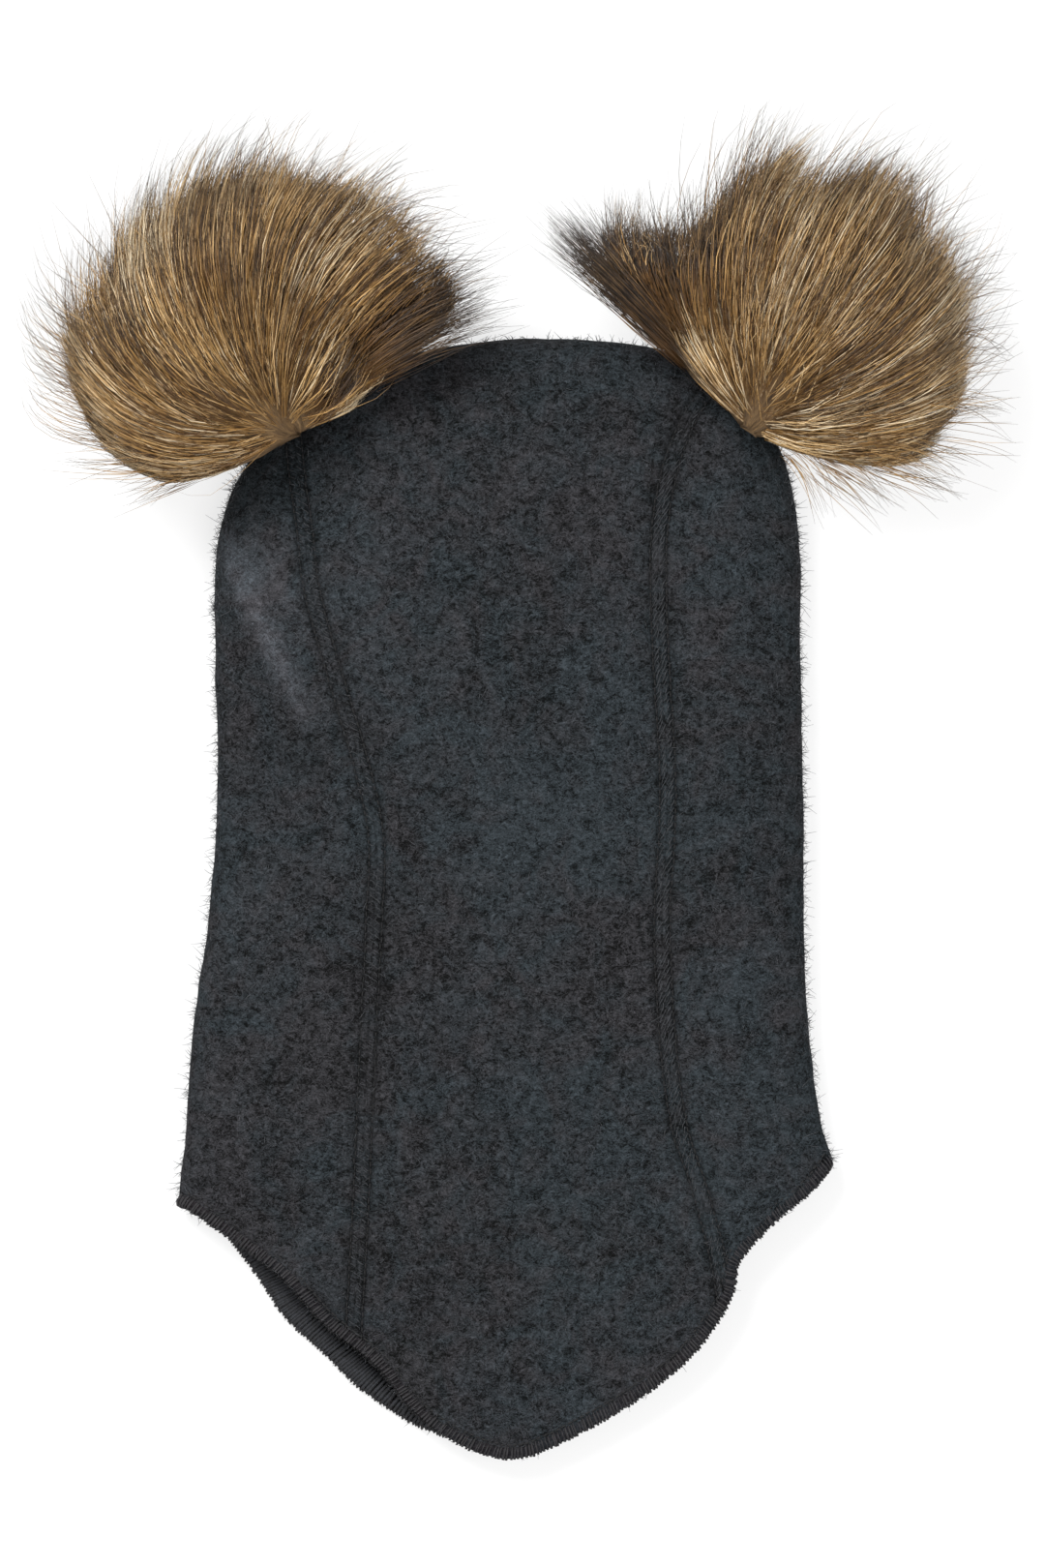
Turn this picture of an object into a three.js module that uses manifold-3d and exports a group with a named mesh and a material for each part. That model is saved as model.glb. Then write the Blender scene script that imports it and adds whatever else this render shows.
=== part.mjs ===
// A baby's hood-shaped hat in wool fleece, with two fur pompoms for ears, lying on its face side.
// Millimetres, +Z up. X runs across the hat and +Y from the neck hem to the crown. The hat rests on Z = 0,
// and the origin is on that surface, on the middle line, between the face opening and the neck hem.
import * as THREE from "three";
import { mergeVertices } from "three/addons/utils/BufferGeometryUtils.js";
import Module from "manifold-3d";

const wasm = await Module();
wasm.setup();

// Hood
const HALF_WIDTH = 96.8; // half the flat width at the ears
const CORNER_Y = -58.6; // where the hem turns round the side folds
const BODY_LENGTH = 196.2; // from those corners up to where the crown starts to round
const CROWN_RISE = 83; // from there to the top of the crown
const BIB_DROP = 90.8; // from the corners down to the tip of the neck bib
const FLEECE = 2.5; // thickness of the cloth
const FOLD_RADIUS = 9; // outside radius of the folds at the sides and the crown
const HEAD_HEIGHT = 31; // of the upper layer above the surface, at the head
const SEAM_GAP = 0.3; // between two pieces that are sewn together

// Edges
const HEM_WIDTH = 4.2; // the overlocked edge round the neck
const FACE_EDGE_WIDTH = 3.6; // the overlocked edge round the face
const EDGE_PROUD = 0.5; // how much thicker an overlocked edge is, on each side of the cloth
const FACE_Y = 92; // middle of the face opening
const FACE_PAST_SEAMS = 1.9; // how far its sides reach past the two long seams
const FACE_HALF_HEIGHT = 57;

// Pompoms
const FUR_LENGTH = 92; // from the sewn base to the furthest dense fur
const FUR_HEIGHT = 84; // above the surface
const BALL_RADIUS = 42; // of the dense stuffing under the locks, seen from above
const LOCK_RADIUS = 14; // of a lock of fur at its fullest
const FUR_GAP = 0.35; // between the fur and the hood that carries it

// Outline of the hood from above and height of its upper layer. `along` is a share of BODY_LENGTH from the
// corners towards the crown, `left` and `right` are shares of HALF_WIDTH, and `height` of HEAD_HEIGHT.
const BODY = [
  { along: -0.6, left: -1.15, right: 1.24, height: 0.39 },
  { along: -0.46, left: -1.145, right: 1.22, height: 0.4 },
  { along: -0.29, left: -1.14, right: 1.2, height: 0.45 },
  { along: -0.13, left: -1.135, right: 1.17, height: 0.56 },
  { along: 0.0, left: -1.125, right: 1.13, height: 0.66 },
  { along: 0.1, left: -1.105, right: 1.07, height: 0.73 },
  { along: 0.2, left: -1.094, right: 1.036, height: 0.77 },
  { along: 0.3, left: -1.07, right: 1.018, height: 0.81 },
  { along: 0.43, left: -1.033, right: 1.009, height: 0.85 },
  { along: 0.56, left: -1.004, right: 1.007, height: 0.91 },
  { along: 0.72, left: -0.995, right: 1.003, height: 0.97 },
  { along: 0.86, left: -1.002, right: 0.998, height: 1.0 },
  { along: 1.0, left: -1.006, right: 0.995, height: 0.99 },
];
const APEX_ACROSS = 0.11; // the crown's highest point, a share of HALF_WIDTH
const CROWN_ROUNDNESS = { left: 2.25, right: 2.8 }; // exponents of the two superellipse quarters
const SECTION_ROUNDNESS = 2.7; // of the upper layer, seen along the hat
const CROWN_SLOPE = 3.2; // how late the upper layer comes down to the crown's fold

// The two long seams, seen from above: shares as in BODY
const SEAMS = [
  { along: -0.6, left: -0.55, right: 0.86 },
  { along: -0.29, left: -0.535, right: 0.765 },
  { along: -0.13, left: -0.517, right: 0.715 },
  { along: 0.0, left: -0.503, right: 0.645 },
  { along: 0.1, left: -0.494, right: 0.58 },
  { along: 0.25, left: -0.48, right: 0.54 },
  { along: 0.45, left: -0.46, right: 0.522 },
  { along: 0.58, left: -0.452, right: 0.537 },
  { along: 0.7, left: -0.5, right: 0.54 },
  { along: 0.86, left: -0.595, right: 0.52 },
  { along: 1.0, left: -0.672, right: 0.509 },
  { along: 1.1, left: -0.697, right: 0.513 },
  { along: 1.19, left: -0.722, right: 0.542 },
  { along: 1.26, left: -0.738, right: 0.588 },
  { along: 1.32, left: -0.748, right: 0.654 },
  { along: 1.5, left: -0.78, right: 0.95 },
];

// Neck hems from the left corner to the right one: `across` is a share of HALF_WIDTH and `drop` of BIB_DROP,
// downwards from CORNER_Y. The two hems run as one round the side folds.
const BACK_HEM = [
  { across: -1.134, drop: 0.07 },
  { across: -0.98, drop: 0.18 },
  { across: -0.79, drop: 0.33 },
  { across: -0.63, drop: 0.515 },
  { across: -0.46, drop: 0.66 },
  { across: -0.31, drop: 0.85 },
  { across: -0.13, drop: 0.97 },
  { across: 0.04, drop: 1.0 },
  { across: 0.25, drop: 0.905 },
  { across: 0.47, drop: 0.765 },
  { across: 0.64, drop: 0.61 },
  { across: 0.76, drop: 0.42 },
  { across: 0.79, drop: 0.285 },
  { across: 0.9, drop: 0.15 },
  { across: 1.03, drop: 0.035 },
  { across: 1.115, drop: -0.075 },
];
const FRONT_HEM = [
  { across: -1.134, drop: 0.07 },
  { across: -0.98, drop: 0.18 },
  { across: -0.86, drop: 0.34 },
  { across: -0.77, drop: 0.485 },
  { across: -0.63, drop: 0.625 },
  { across: -0.49, drop: 0.765 },
  { across: -0.28, drop: 0.9 },
  { across: -0.05, drop: 0.95 },
  { across: 0.2, drop: 0.88 },
  { across: 0.42, drop: 0.72 },
  { across: 0.58, drop: 0.53 },
  { across: 0.69, drop: 0.33 },
  { across: 0.86, drop: 0.16 },
  { across: 1.03, drop: 0.035 },
  { across: 1.115, drop: -0.075 },
];

// Soft folds and dents of the upper layer: `across` and `along` as in BODY, `long` and `wide` are half sizes
// as shares of HALF_WIDTH, `turn` is the long side's angle from +X in degrees, and `rise` a share of FLEECE
const FOLDS = [
  { across: -0.76, along: 0.9, long: 0.4, wide: 0.11, turn: -57, rise: 1.5 },
  { across: -0.86, along: 0.74, long: 0.34, wide: 0.13, turn: -60, rise: -1.6 },
  { across: -0.62, along: 1.16, long: 0.28, wide: 0.12, turn: 80, rise: -1.3 },
  { across: 0.6, along: 1.22, long: 0.3, wide: 0.13, turn: 60, rise: -1.3 },
  { across: -0.25, along: -0.05, long: 0.5, wide: 0.16, turn: 25, rise: 0.9 },
  { across: 0.4, along: -0.2, long: 0.4, wide: 0.15, turn: -35, rise: 0.8 },
  { across: 0.88, along: 0.1, long: 0.35, wide: 0.16, turn: 75, rise: 0.8 },
];

// Each pompom: where it is sewn on, as in BODY, and which way its ball leans from there, in degrees from +X.
// A table outlines its fur from above: `heading` in degrees round the sewn base and `reach` as a share of
// FUR_LENGTH.
const POMPOMS = [
  {
    name: "pompom_left",
    across: -0.735,
    along: 1.277,
    lean: 107,
    outline: [
      { heading: 30, reach: 0.66 },
      { heading: 43, reach: 0.79 },
      { heading: 58, reach: 0.84 },
      { heading: 73, reach: 0.93 },
      { heading: 100, reach: 1.0 },
      { heading: 115, reach: 0.95 },
      { heading: 130, reach: 0.91 },
      { heading: 157, reach: 0.9 },
      { heading: 170, reach: 0.79 },
      { heading: 186, reach: 0.67 },
      { heading: 206, reach: 0.5 },
    ],
  },
  {
    name: "pompom_right",
    across: 0.826,
    along: 1.285,
    lean: 65,
    outline: [
      { heading: -38, reach: 0.38 },
      { heading: -18, reach: 0.68 },
      { heading: 4, reach: 0.76 },
      { heading: 21, reach: 0.87 },
      { heading: 42, reach: 1.0 },
      { heading: 57, reach: 1.05 },
      { heading: 70, reach: 1.0 },
      { heading: 83, reach: 0.95 },
      { heading: 98, reach: 0.86 },
      { heading: 110, reach: 0.77 },
      { heading: 122, reach: 0.82 },
      { heading: 133, reach: 0.85 },
      { heading: 142, reach: 0.6 },
    ],
  },
];
// Heights of the sewn base and of the ball's centre and half its height, shares of FUR_HEIGHT
const BALL = { base: 0.36, centre: 0.47, half: 0.4 };
const BALL_LEAN = 0.4; // from the sewn base to the ball's centre, a share of FUR_LENGTH
// Layers of locks from the surface up: `tip` and `middle` are heights as shares of FUR_HEIGHT, and `spread`
// is how far out the tips are, from the ball's centre to the outline
const LOCK_LAYERS = [
  { count: 7, tip: 0.1, middle: 0.14, spread: 0.8 },
  { count: 11, tip: 0.34, middle: 0.37, spread: 1.0 },
  { count: 8, tip: 0.58, middle: 0.62, spread: 0.84 },
  { count: 5, tip: 0.76, middle: 0.78, spread: 0.52 },
  { count: 3, tip: 0.84, middle: 0.8, spread: 0.1 },
];
const LOCK_FULLNESS = [0.5, 0.95, 1.0, 0.2]; // of a lock from base to tip, shares of LOCK_RADIUS

const SPLIT_SHARE = 0.67; // of FOLD_RADIUS
const SPLIT_Z = FOLD_RADIUS * SPLIT_SHARE; // a level in the side folds, between the lower and the upper layer
const ABOVE = 2 * FUR_HEIGHT; // beyond the top of everything
const BELOW = -2 * FOLD_RADIUS; // beneath everything
const BEYOND = BODY_LENGTH + CROWN_RISE; // past the outline on every side

const across = (share) => share * HALF_WIDTH;
const along = (share) => CORNER_Y + share * BODY_LENGTH;
const SPRING_Y = along(1);

// A column of a table at any value of its key, on a smooth curve through the rows
function follow(table, key, column, value) {
  const last = table.length - 1;
  let i = table.findIndex((row) => row[key] >= value);
  if (i <= 0) i = i === 0 ? 1 : last;
  const row = (k) => table[Math.min(Math.max(k, 0), last)];
  const slope = (k) => {
    const [a, b] = [row(k - 1), row(k + 1)];
    return (b[column] - a[column]) / (b[key] - a[key]);
  };
  const [from, to] = [row(i - 1), row(i)];
  const span = to[key] - from[key];
  const t = THREE.MathUtils.clamp((value - from[key]) / span, 0, 1);
  return (
    from[column] * (1 + 2 * t) * (1 - t) ** 2 +
    to[column] * t * t * (3 - 2 * t) +
    span * slope(i - 1) * t * (1 - t) ** 2 +
    span * slope(i) * t * t * (t - 1)
  );
}

// A closed surface through rings of points, each ring anticlockwise as seen from before the first one
function loft(rings) {
  const count = rings[0].length;
  const middle = (ring) => ring.reduce((sum, p) => sum.add(p), new THREE.Vector3()).divideScalar(count);
  const points = [...rings.flat(), middle(rings[0]), middle(rings.at(-1))];
  const faces = [];
  const [start, end] = [rings.length * count, rings.length * count + 1];
  const lastRing = (rings.length - 1) * count;
  for (let j = 0; j < count; j++) {
    const next = (j + 1) % count;
    faces.push(start, j, next);
    faces.push(end, lastRing + next, lastRing + j);
    for (let i = 0; i < rings.length - 1; i++) {
      const [a, b] = [i * count + j, i * count + next];
      faces.push(a, a + count, b, b, a + count, b + count);
    }
  }
  return new THREE.BufferGeometry().setFromPoints(points).setIndex(faces);
}

function solid(geometry) {
  const bare = geometry.clone();
  bare.deleteAttribute("normal");
  bare.deleteAttribute("uv");
  const merged = mergeVertices(bare, 1e-4);
  const mesh = new wasm.Mesh({
    numProp: 3,
    vertProperties: new Float32Array(merged.attributes.position.array),
    triVerts: new Uint32Array(merged.index.array),
  });
  return new wasm.Manifold(mesh);
}

// A vertical prism over a flat outline
function prism(outline, low, high) {
  const shape = new THREE.Shape(outline);
  const geometry = new THREE.ExtrudeGeometry(shape, { depth: high - low, bevelEnabled: false });
  return solid(geometry.translate(0, 0, low));
}

// How far a fold or dent moves the upper layer at a point
function foldRise(x, y) {
  let rise = 0;
  for (const fold of FOLDS) {
    const from = new THREE.Vector2(x - across(fold.across), y - along(fold.along));
    from.rotateAround(new THREE.Vector2(), -THREE.MathUtils.degToRad(fold.turn));
    const far = (from.x / across(fold.long)) ** 2 + (from.y / across(fold.wide)) ** 2;
    rise += fold.rise * FLEECE * Math.exp(-far);
  }
  return rise;
}

// One ring round the hood, `inset` inside its outer surface. Where `inset` is negative, the underside still
// stays at Z = 0. Towards the apex `topFall` brings the upper layer down and `foldFall` the underside up.
function hoodRing({ y, left, right, height, topFall, foldFall }, inset) {
  const FLOOR_STEPS = 8;
  const FOLD_STEPS = 4;
  const TOP_STEPS = 16;
  const NARROWEST = 0.6; // the most of a short ring's half that a fold takes
  const middle = (left + right) / 2;
  const half = (right - left) / 2;
  const foldHalf = Math.min(FOLD_RADIUS - inset, half * NARROWEST);
  const underside = (FOLD_RADIUS - Math.max(inset, 0)) * foldFall;
  const foldPoint = (edge, sign, k) => {
    const turn = (k / (FOLD_STEPS + 1)) * (Math.PI / 2);
    const x = edge - sign * foldHalf * (1 - Math.sin(turn));
    return new THREE.Vector3(x, y, FOLD_RADIUS - underside * Math.cos(turn));
  };
  const ring = [];
  for (let k = 0; k <= FLOOR_STEPS; k++) {
    const s = (2 * k) / FLOOR_STEPS - 1;
    ring.push(new THREE.Vector3(middle + s * (half - foldHalf), y, FOLD_RADIUS - underside));
  }
  for (let k = 1; k <= FOLD_STEPS; k++) ring.push(foldPoint(right, 1, k));
  for (let k = 0; k <= TOP_STEPS; k++) {
    const turn = (k / TOP_STEPS) * Math.PI;
    const s = Math.sign(Math.cos(turn)) * Math.abs(Math.cos(turn)) ** (2 / SECTION_ROUNDNESS);
    const lift = Math.abs(Math.sin(turn)) ** (2 / SECTION_ROUNDNESS);
    const x = middle + s * half;
    const rise = (height - FOLD_RADIUS - inset + foldRise(x, y)) * topFall;
    ring.push(new THREE.Vector3(x, y, FOLD_RADIUS + lift * rise));
  }
  for (let k = FOLD_STEPS; k >= 1; k--) ring.push(foldPoint(left, -1, k));
  return ring;
}

// The hood as a filled form, `inset` inside its outer surface
function hood(inset) {
  const BODY_STEPS = 18;
  const CROWN_STEPS = 10;
  const NEAR_APEX = 0.99999; // the last ring stops a hair short of the apex
  const rings = [];
  const spring = BODY.at(-1);
  for (let i = 0; i <= BODY_STEPS; i++) {
    const share = THREE.MathUtils.lerp(BODY[0].along, spring.along, i / BODY_STEPS);
    const at = (column) => follow(BODY, "along", column, share);
    const [left, right] = [across(at("left")) + inset, across(at("right")) - inset];
    const height = HEAD_HEIGHT * at("height");
    rings.push(hoodRing({ y: along(share), left, right, height, topFall: 1, foldFall: 1 }, inset));
  }
  const apex = across(APEX_ACROSS);
  const rise = CROWN_RISE - inset;
  for (let i = 1; i <= CROWN_STEPS; i++) {
    const share = Math.sin((i / CROWN_STEPS) * (Math.PI / 2)) * NEAR_APEX;
    const fall = (power) => (1 - share ** power) ** (1 / power);
    const fromEdge = Math.min(((1 - share) * rise) / (FOLD_RADIUS - Math.max(inset, 0)), 1);
    const section = {
      y: SPRING_Y + share * rise,
      left: apex - (apex - across(spring.left) - inset) * fall(CROWN_ROUNDNESS.left),
      right: apex + (across(spring.right) - apex - inset) * fall(CROWN_ROUNDNESS.right),
      height: HEAD_HEIGHT * spring.height,
      topFall: fall(CROWN_SLOPE),
      foldFall: Math.sqrt(1 - (1 - fromEdge) ** 2),
    };
    rings.push(hoodRing(section, inset));
  }
  return solid(loft(rings));
}

// Points along a neck hem, moved `inset` into the cloth, with ends that run out past the side folds
function hemLine(table, inset) {
  const HEM_STEPS = 40;
  const knots = table.map((row) => new THREE.Vector2(across(row.across), CORNER_Y - row.drop * BIB_DROP));
  const curve = new THREE.SplineCurve(knots);
  const line = [];
  for (let i = 0; i <= HEM_STEPS; i++) {
    const tangent = curve.getTangentAt(i / HEM_STEPS);
    const inward = new THREE.Vector2(-tangent.y, tangent.x);
    line.push(curve.getPointAt(i / HEM_STEPS).addScaledVector(inward, inset));
  }
  const runOut = (end, step) => end.clone().addScaledVector(end.clone().sub(step).normalize(), HALF_WIDTH);
  return [runOut(line[0], line[1]), ...line, runOut(line.at(-1), line.at(-2))];
}

// Everything on the crown's side of a hem, `inset` into the cloth, from one level to another
function aboveHem(table, inset, low, high) {
  const line = hemLine(table, inset);
  const corner = (side) => new THREE.Vector2(side * BEYOND, BEYOND);
  return prism([...line, corner(1), corner(-1)], low, high);
}

const insideHems = (inset) =>
  aboveHem(BACK_HEM, inset, SPLIT_Z, ABOVE).add(aboveHem(FRONT_HEM, inset, BELOW, SPLIT_Z));

// The face opening, `grown` past its edge, through the lower layer
function faceOpening(grown) {
  const FACE_STEPS = 40;
  const share = (FACE_Y - CORNER_Y) / BODY_LENGTH;
  const seams = ["left", "right"].map((side) => Math.abs(across(follow(SEAMS, "along", side, share))));
  const halfWidth = Math.max(...seams) + FACE_PAST_SEAMS;
  const ellipse = new THREE.EllipseCurve(0, FACE_Y, halfWidth + grown, FACE_HALF_HEIGHT + grown);
  return prism(ellipse.getPoints(FACE_STEPS).slice(0, -1), BELOW, SPLIT_Z);
}

// The strip between the two long seams, `grown` past each, between two levels and two places along the hat
function betweenSeams(grown, low, high, fromY, toY) {
  const SEAM_STEPS = 28;
  const side = (column, sign) =>
    Array.from({ length: SEAM_STEPS + 1 }, (_, i) => {
      const share = THREE.MathUtils.lerp(SEAMS[0].along, SEAMS.at(-1).along, i / SEAM_STEPS);
      return new THREE.Vector2(across(follow(SEAMS, "along", column, share)) + sign * grown, along(share));
    });
  const strip = prism([...side("right", 1), ...side("left", -1).reverse()], low, high);
  const window = new THREE.BoxGeometry(2 * BEYOND, toY - fromY, ABOVE - BELOW);
  window.translate(0, (fromY + toY) / 2, (ABOVE + BELOW) / 2);
  return strip.intersect(solid(window));
}

// One lock of fur: a leaf-shaped bundle that arches over the ball from the base to its tip
function lock(base, middle, tip) {
  const SIDES = 5;
  const through = middle.clone().multiplyScalar(2).sub(base.clone().lerp(tip, 0.5));
  const path = new THREE.QuadraticBezierCurve3(base, through, tip);
  const rings = LOCK_FULLNESS.map((fullness, i) => {
    const t = i / (LOCK_FULLNESS.length - 1);
    const ahead = path.getTangent(t);
    const sideways = new THREE.Vector3(0, 0, 1).cross(ahead).normalize();
    const up = ahead.clone().cross(sideways);
    return Array.from({ length: SIDES }, (_, j) => {
      const turn = ((j + 0.25) / SIDES) * 2 * Math.PI;
      return path
        .getPoint(t)
        .addScaledVector(sideways, -Math.cos(turn) * LOCK_RADIUS * fullness)
        .addScaledVector(up, Math.sin(turn) * LOCK_RADIUS * fullness);
    });
  });
  return solid(loft(rings));
}

// A pompom: locks fused round a ball of stuffing, flat where they lie on the surface and on the hood
function pompom({ across: baseAcross, along: baseAlong, lean, outline }) {
  const towards = (heading, far, height) => {
    const angle = THREE.MathUtils.degToRad(heading);
    const [x, y] = [across(baseAcross) + far * Math.cos(angle), along(baseAlong) + far * Math.sin(angle)];
    return new THREE.Vector3(x, y, FUR_HEIGHT * height);
  };
  const base = towards(0, 0, BALL.base);
  const centre = towards(lean, FUR_LENGTH * BALL_LEAN, BALL.centre);
  const [BALL_SIDES, BALL_RINGS] = [14, 9];
  const ball = new THREE.SphereGeometry(1, BALL_SIDES, BALL_RINGS).rotateX(Math.PI / 2);
  ball.scale(BALL_RADIUS, BALL_RADIUS, FUR_HEIGHT * BALL.half);
  let fur = solid(ball.translate(centre.x, centre.y, centre.z));
  const [first, last] = [outline[0].heading, outline.at(-1).heading];
  for (const layer of LOCK_LAYERS) {
    for (let i = 0; i < layer.count; i++) {
      const heading = THREE.MathUtils.lerp(first, last, (i + 0.5) / layer.count);
      const reach = FUR_LENGTH * follow(outline, "heading", "reach", heading);
      const tip = centre.clone().lerp(towards(heading, reach, 0), layer.spread);
      tip.z = FUR_HEIGHT * layer.tip;
      const middle = base.clone().lerp(tip, 0.5).setZ(FUR_HEIGHT * layer.middle);
      fur = fur.add(lock(base, middle, tip));
    }
  }
  const room = new THREE.BoxGeometry(4 * BEYOND, 4 * BEYOND, ABOVE).translate(0, 0, ABOVE / 2);
  return fur.subtract(hood(-FUR_GAP)).intersect(solid(room));
}

function named(name, made, material) {
  const { numProp, vertProperties, triVerts } = made.getMesh();
  const geometry = new THREE.BufferGeometry();
  const position = Array.from({ length: vertProperties.length / numProp }, (_, i) =>
    vertProperties.slice(i * numProp, i * numProp + 3),
  );
  geometry.setAttribute("position", new THREE.Float32BufferAttribute(position.flatMap((p) => [...p]), 3));
  geometry.setIndex([...triVerts]);
  geometry.computeVertexNormals();
  const mesh = new THREE.Mesh(geometry, material);
  mesh.name = name;
  return mesh;
}

const fleece = new THREE.MeshStandardMaterial({ color: 0x3c4143, roughness: 0.95, metalness: 0 });
const overlock = new THREE.MeshStandardMaterial({ color: 0x2b2b2e, roughness: 0.9, metalness: 0 });
const fur = new THREE.MeshStandardMaterial({ color: 0x937350, roughness: 0.7, metalness: 0 });

// The sewn panels: one sheet of fleece, trimmed to its edges and parted at the seams
const clear = HEM_WIDTH + SEAM_GAP;
const sheet = hood(0)
  .subtract(hood(FLEECE))
  .intersect(insideHems(clear))
  .subtract(faceOpening(FACE_EDGE_WIDTH + SEAM_GAP));
const half = SEAM_GAP / 2;
const strip = betweenSeams(-half, SPLIT_Z, ABOVE, -BEYOND, BEYOND);
const foreheadStrip = betweenSeams(-half, BELOW, ABOVE, FACE_Y, BEYOND);
const neckStrip = betweenSeams(-half, BELOW, SPLIT_Z, -BEYOND, FACE_Y - SEAM_GAP);
const sides = sheet.subtract(betweenSeams(half, BELOW, ABOVE, -BEYOND, BEYOND));
const sideOf = (sign) => {
  const room = new THREE.BoxGeometry(BEYOND, 4 * BEYOND, 4 * BEYOND).translate((sign * BEYOND) / 2, 0, 0);
  return sides.intersect(solid(room));
};

// The overlocked edges: a thicker sheet, kept only near each edge
const thickSheet = hood(-EDGE_PROUD).subtract(hood(FLEECE + EDGE_PROUD));
const hem = thickSheet.intersect(insideHems(0)).subtract(insideHems(HEM_WIDTH));
const faceEdge = thickSheet.intersect(faceOpening(FACE_EDGE_WIDTH).subtract(faceOpening(0)));

const hat = new THREE.Group();
hat.add(named("centre_panel", sheet.intersect(strip.add(foreheadStrip)), fleece));
hat.add(named("neck_panel", sheet.intersect(neckStrip), fleece));
hat.add(named("side_panel_left", sideOf(-1), fleece));
hat.add(named("side_panel_right", sideOf(1), fleece));
hat.add(named("neck_hem", hem, overlock));
hat.add(named("face_edge", faceEdge, overlock));
for (const shape of POMPOMS) hat.add(named(shape.name, pompom(shape), fur));

export default hat;
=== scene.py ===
# A baby's hood-shaped hat in charcoal melange fleece, with two fur pompoms for ears.
# It lies on its face side on a pale floor, and the camera looks straight down on its back.
import math

import bmesh
import bpy
import numpy as np
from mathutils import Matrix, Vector, noise


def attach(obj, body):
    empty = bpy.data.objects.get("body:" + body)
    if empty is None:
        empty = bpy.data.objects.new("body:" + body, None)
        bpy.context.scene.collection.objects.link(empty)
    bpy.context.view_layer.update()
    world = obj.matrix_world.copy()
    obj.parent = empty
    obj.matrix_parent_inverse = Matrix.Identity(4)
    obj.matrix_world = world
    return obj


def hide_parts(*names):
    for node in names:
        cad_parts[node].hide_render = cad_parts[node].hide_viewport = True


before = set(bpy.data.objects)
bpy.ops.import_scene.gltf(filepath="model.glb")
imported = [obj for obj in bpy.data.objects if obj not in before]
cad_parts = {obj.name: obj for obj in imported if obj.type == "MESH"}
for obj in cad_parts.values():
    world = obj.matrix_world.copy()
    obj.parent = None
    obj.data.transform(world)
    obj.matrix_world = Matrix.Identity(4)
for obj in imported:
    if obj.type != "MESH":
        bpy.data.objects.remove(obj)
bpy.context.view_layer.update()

MM = 0.001

# Hood: the same values as in the part's source, in millimetres
HALF_WIDTH = 96.8
CORNER_Y = -58.6
BODY_LENGTH = 196.2
CROWN_RISE = 83
BIB_DROP = 90.8
FLEECE = 2.5
FOLD_RADIUS = 9
HEAD_HEIGHT = 31
HEM_WIDTH = 4.2
FACE_EDGE_WIDTH = 3.6
EDGE_PROUD = 0.5
FACE_Y = 92
FACE_HALF_WIDTH = 54.04
FACE_HALF_HEIGHT = 57
APEX_ACROSS = 0.11
CROWN_ROUND_LEFT = 2.25
CROWN_ROUND_RIGHT = 2.8
SECTION_ROUND = 2.7
CROWN_SLOPE = 3.2
NARROWEST = 0.6
SPRING_Y = CORNER_Y + BODY_LENGTH
CROWN_TOP_Y = SPRING_Y + CROWN_RISE
SPLIT_Z = FOLD_RADIUS * 0.67

# Seams: half the width between the two rows, how deep they sink, and how the cloth rises and dips there
SEAM_HALF_BAND = 2.6
ROW_DEPTH = 0.55
BAND_RISE = 0.22
SEAM_DIP = 0.25
# Distances from a seam of the columns of points that shape its relief
NEAR_SEAM = np.array([0, 1.0, 1.7, 2.2, 2.6, 3.0, 3.7, 5.1, 7.1])

# Place along the hat, left edge, right edge and height of the upper layer
BODY = [
    (-0.6, -1.15, 1.24, 0.39),
    (-0.46, -1.145, 1.22, 0.4),
    (-0.29, -1.14, 1.2, 0.45),
    (-0.13, -1.135, 1.17, 0.56),
    (0.0, -1.125, 1.13, 0.66),
    (0.1, -1.105, 1.07, 0.73),
    (0.2, -1.094, 1.036, 0.77),
    (0.3, -1.07, 1.018, 0.81),
    (0.43, -1.033, 1.009, 0.85),
    (0.56, -1.004, 1.007, 0.91),
    (0.72, -0.995, 1.003, 0.97),
    (0.86, -1.002, 0.998, 1.0),
    (1.0, -1.006, 0.995, 0.99),
]
# Place along the hat, left seam and right seam
SEAMS = [
    (-0.6, -0.55, 0.86),
    (-0.29, -0.535, 0.765),
    (-0.13, -0.517, 0.715),
    (0.0, -0.503, 0.645),
    (0.1, -0.494, 0.58),
    (0.25, -0.48, 0.54),
    (0.45, -0.46, 0.522),
    (0.58, -0.452, 0.537),
    (0.7, -0.5, 0.54),
    (0.86, -0.595, 0.52),
    (1.0, -0.672, 0.509),
    (1.1, -0.697, 0.513),
    (1.19, -0.722, 0.542),
    (1.26, -0.738, 0.588),
    (1.32, -0.748, 0.654),
    (1.5, -0.78, 0.95),
]
# Neck hems from the left corner to the right one: place across and drop below the corners
BACK_HEM = [
    (-1.134, 0.07),
    (-0.98, 0.18),
    (-0.79, 0.33),
    (-0.63, 0.515),
    (-0.46, 0.66),
    (-0.31, 0.85),
    (-0.13, 0.97),
    (0.04, 1.0),
    (0.25, 0.905),
    (0.47, 0.765),
    (0.64, 0.61),
    (0.76, 0.42),
    (0.79, 0.285),
    (0.9, 0.15),
    (1.03, 0.035),
    (1.115, -0.075),
]
FRONT_HEM = [
    (-1.134, 0.07),
    (-0.98, 0.18),
    (-0.86, 0.34),
    (-0.77, 0.485),
    (-0.63, 0.625),
    (-0.49, 0.765),
    (-0.28, 0.9),
    (-0.05, 0.95),
    (0.2, 0.88),
    (0.42, 0.72),
    (0.58, 0.53),
    (0.69, 0.33),
    (0.86, 0.16),
    (1.03, 0.035),
    (1.115, -0.075),
]
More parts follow.
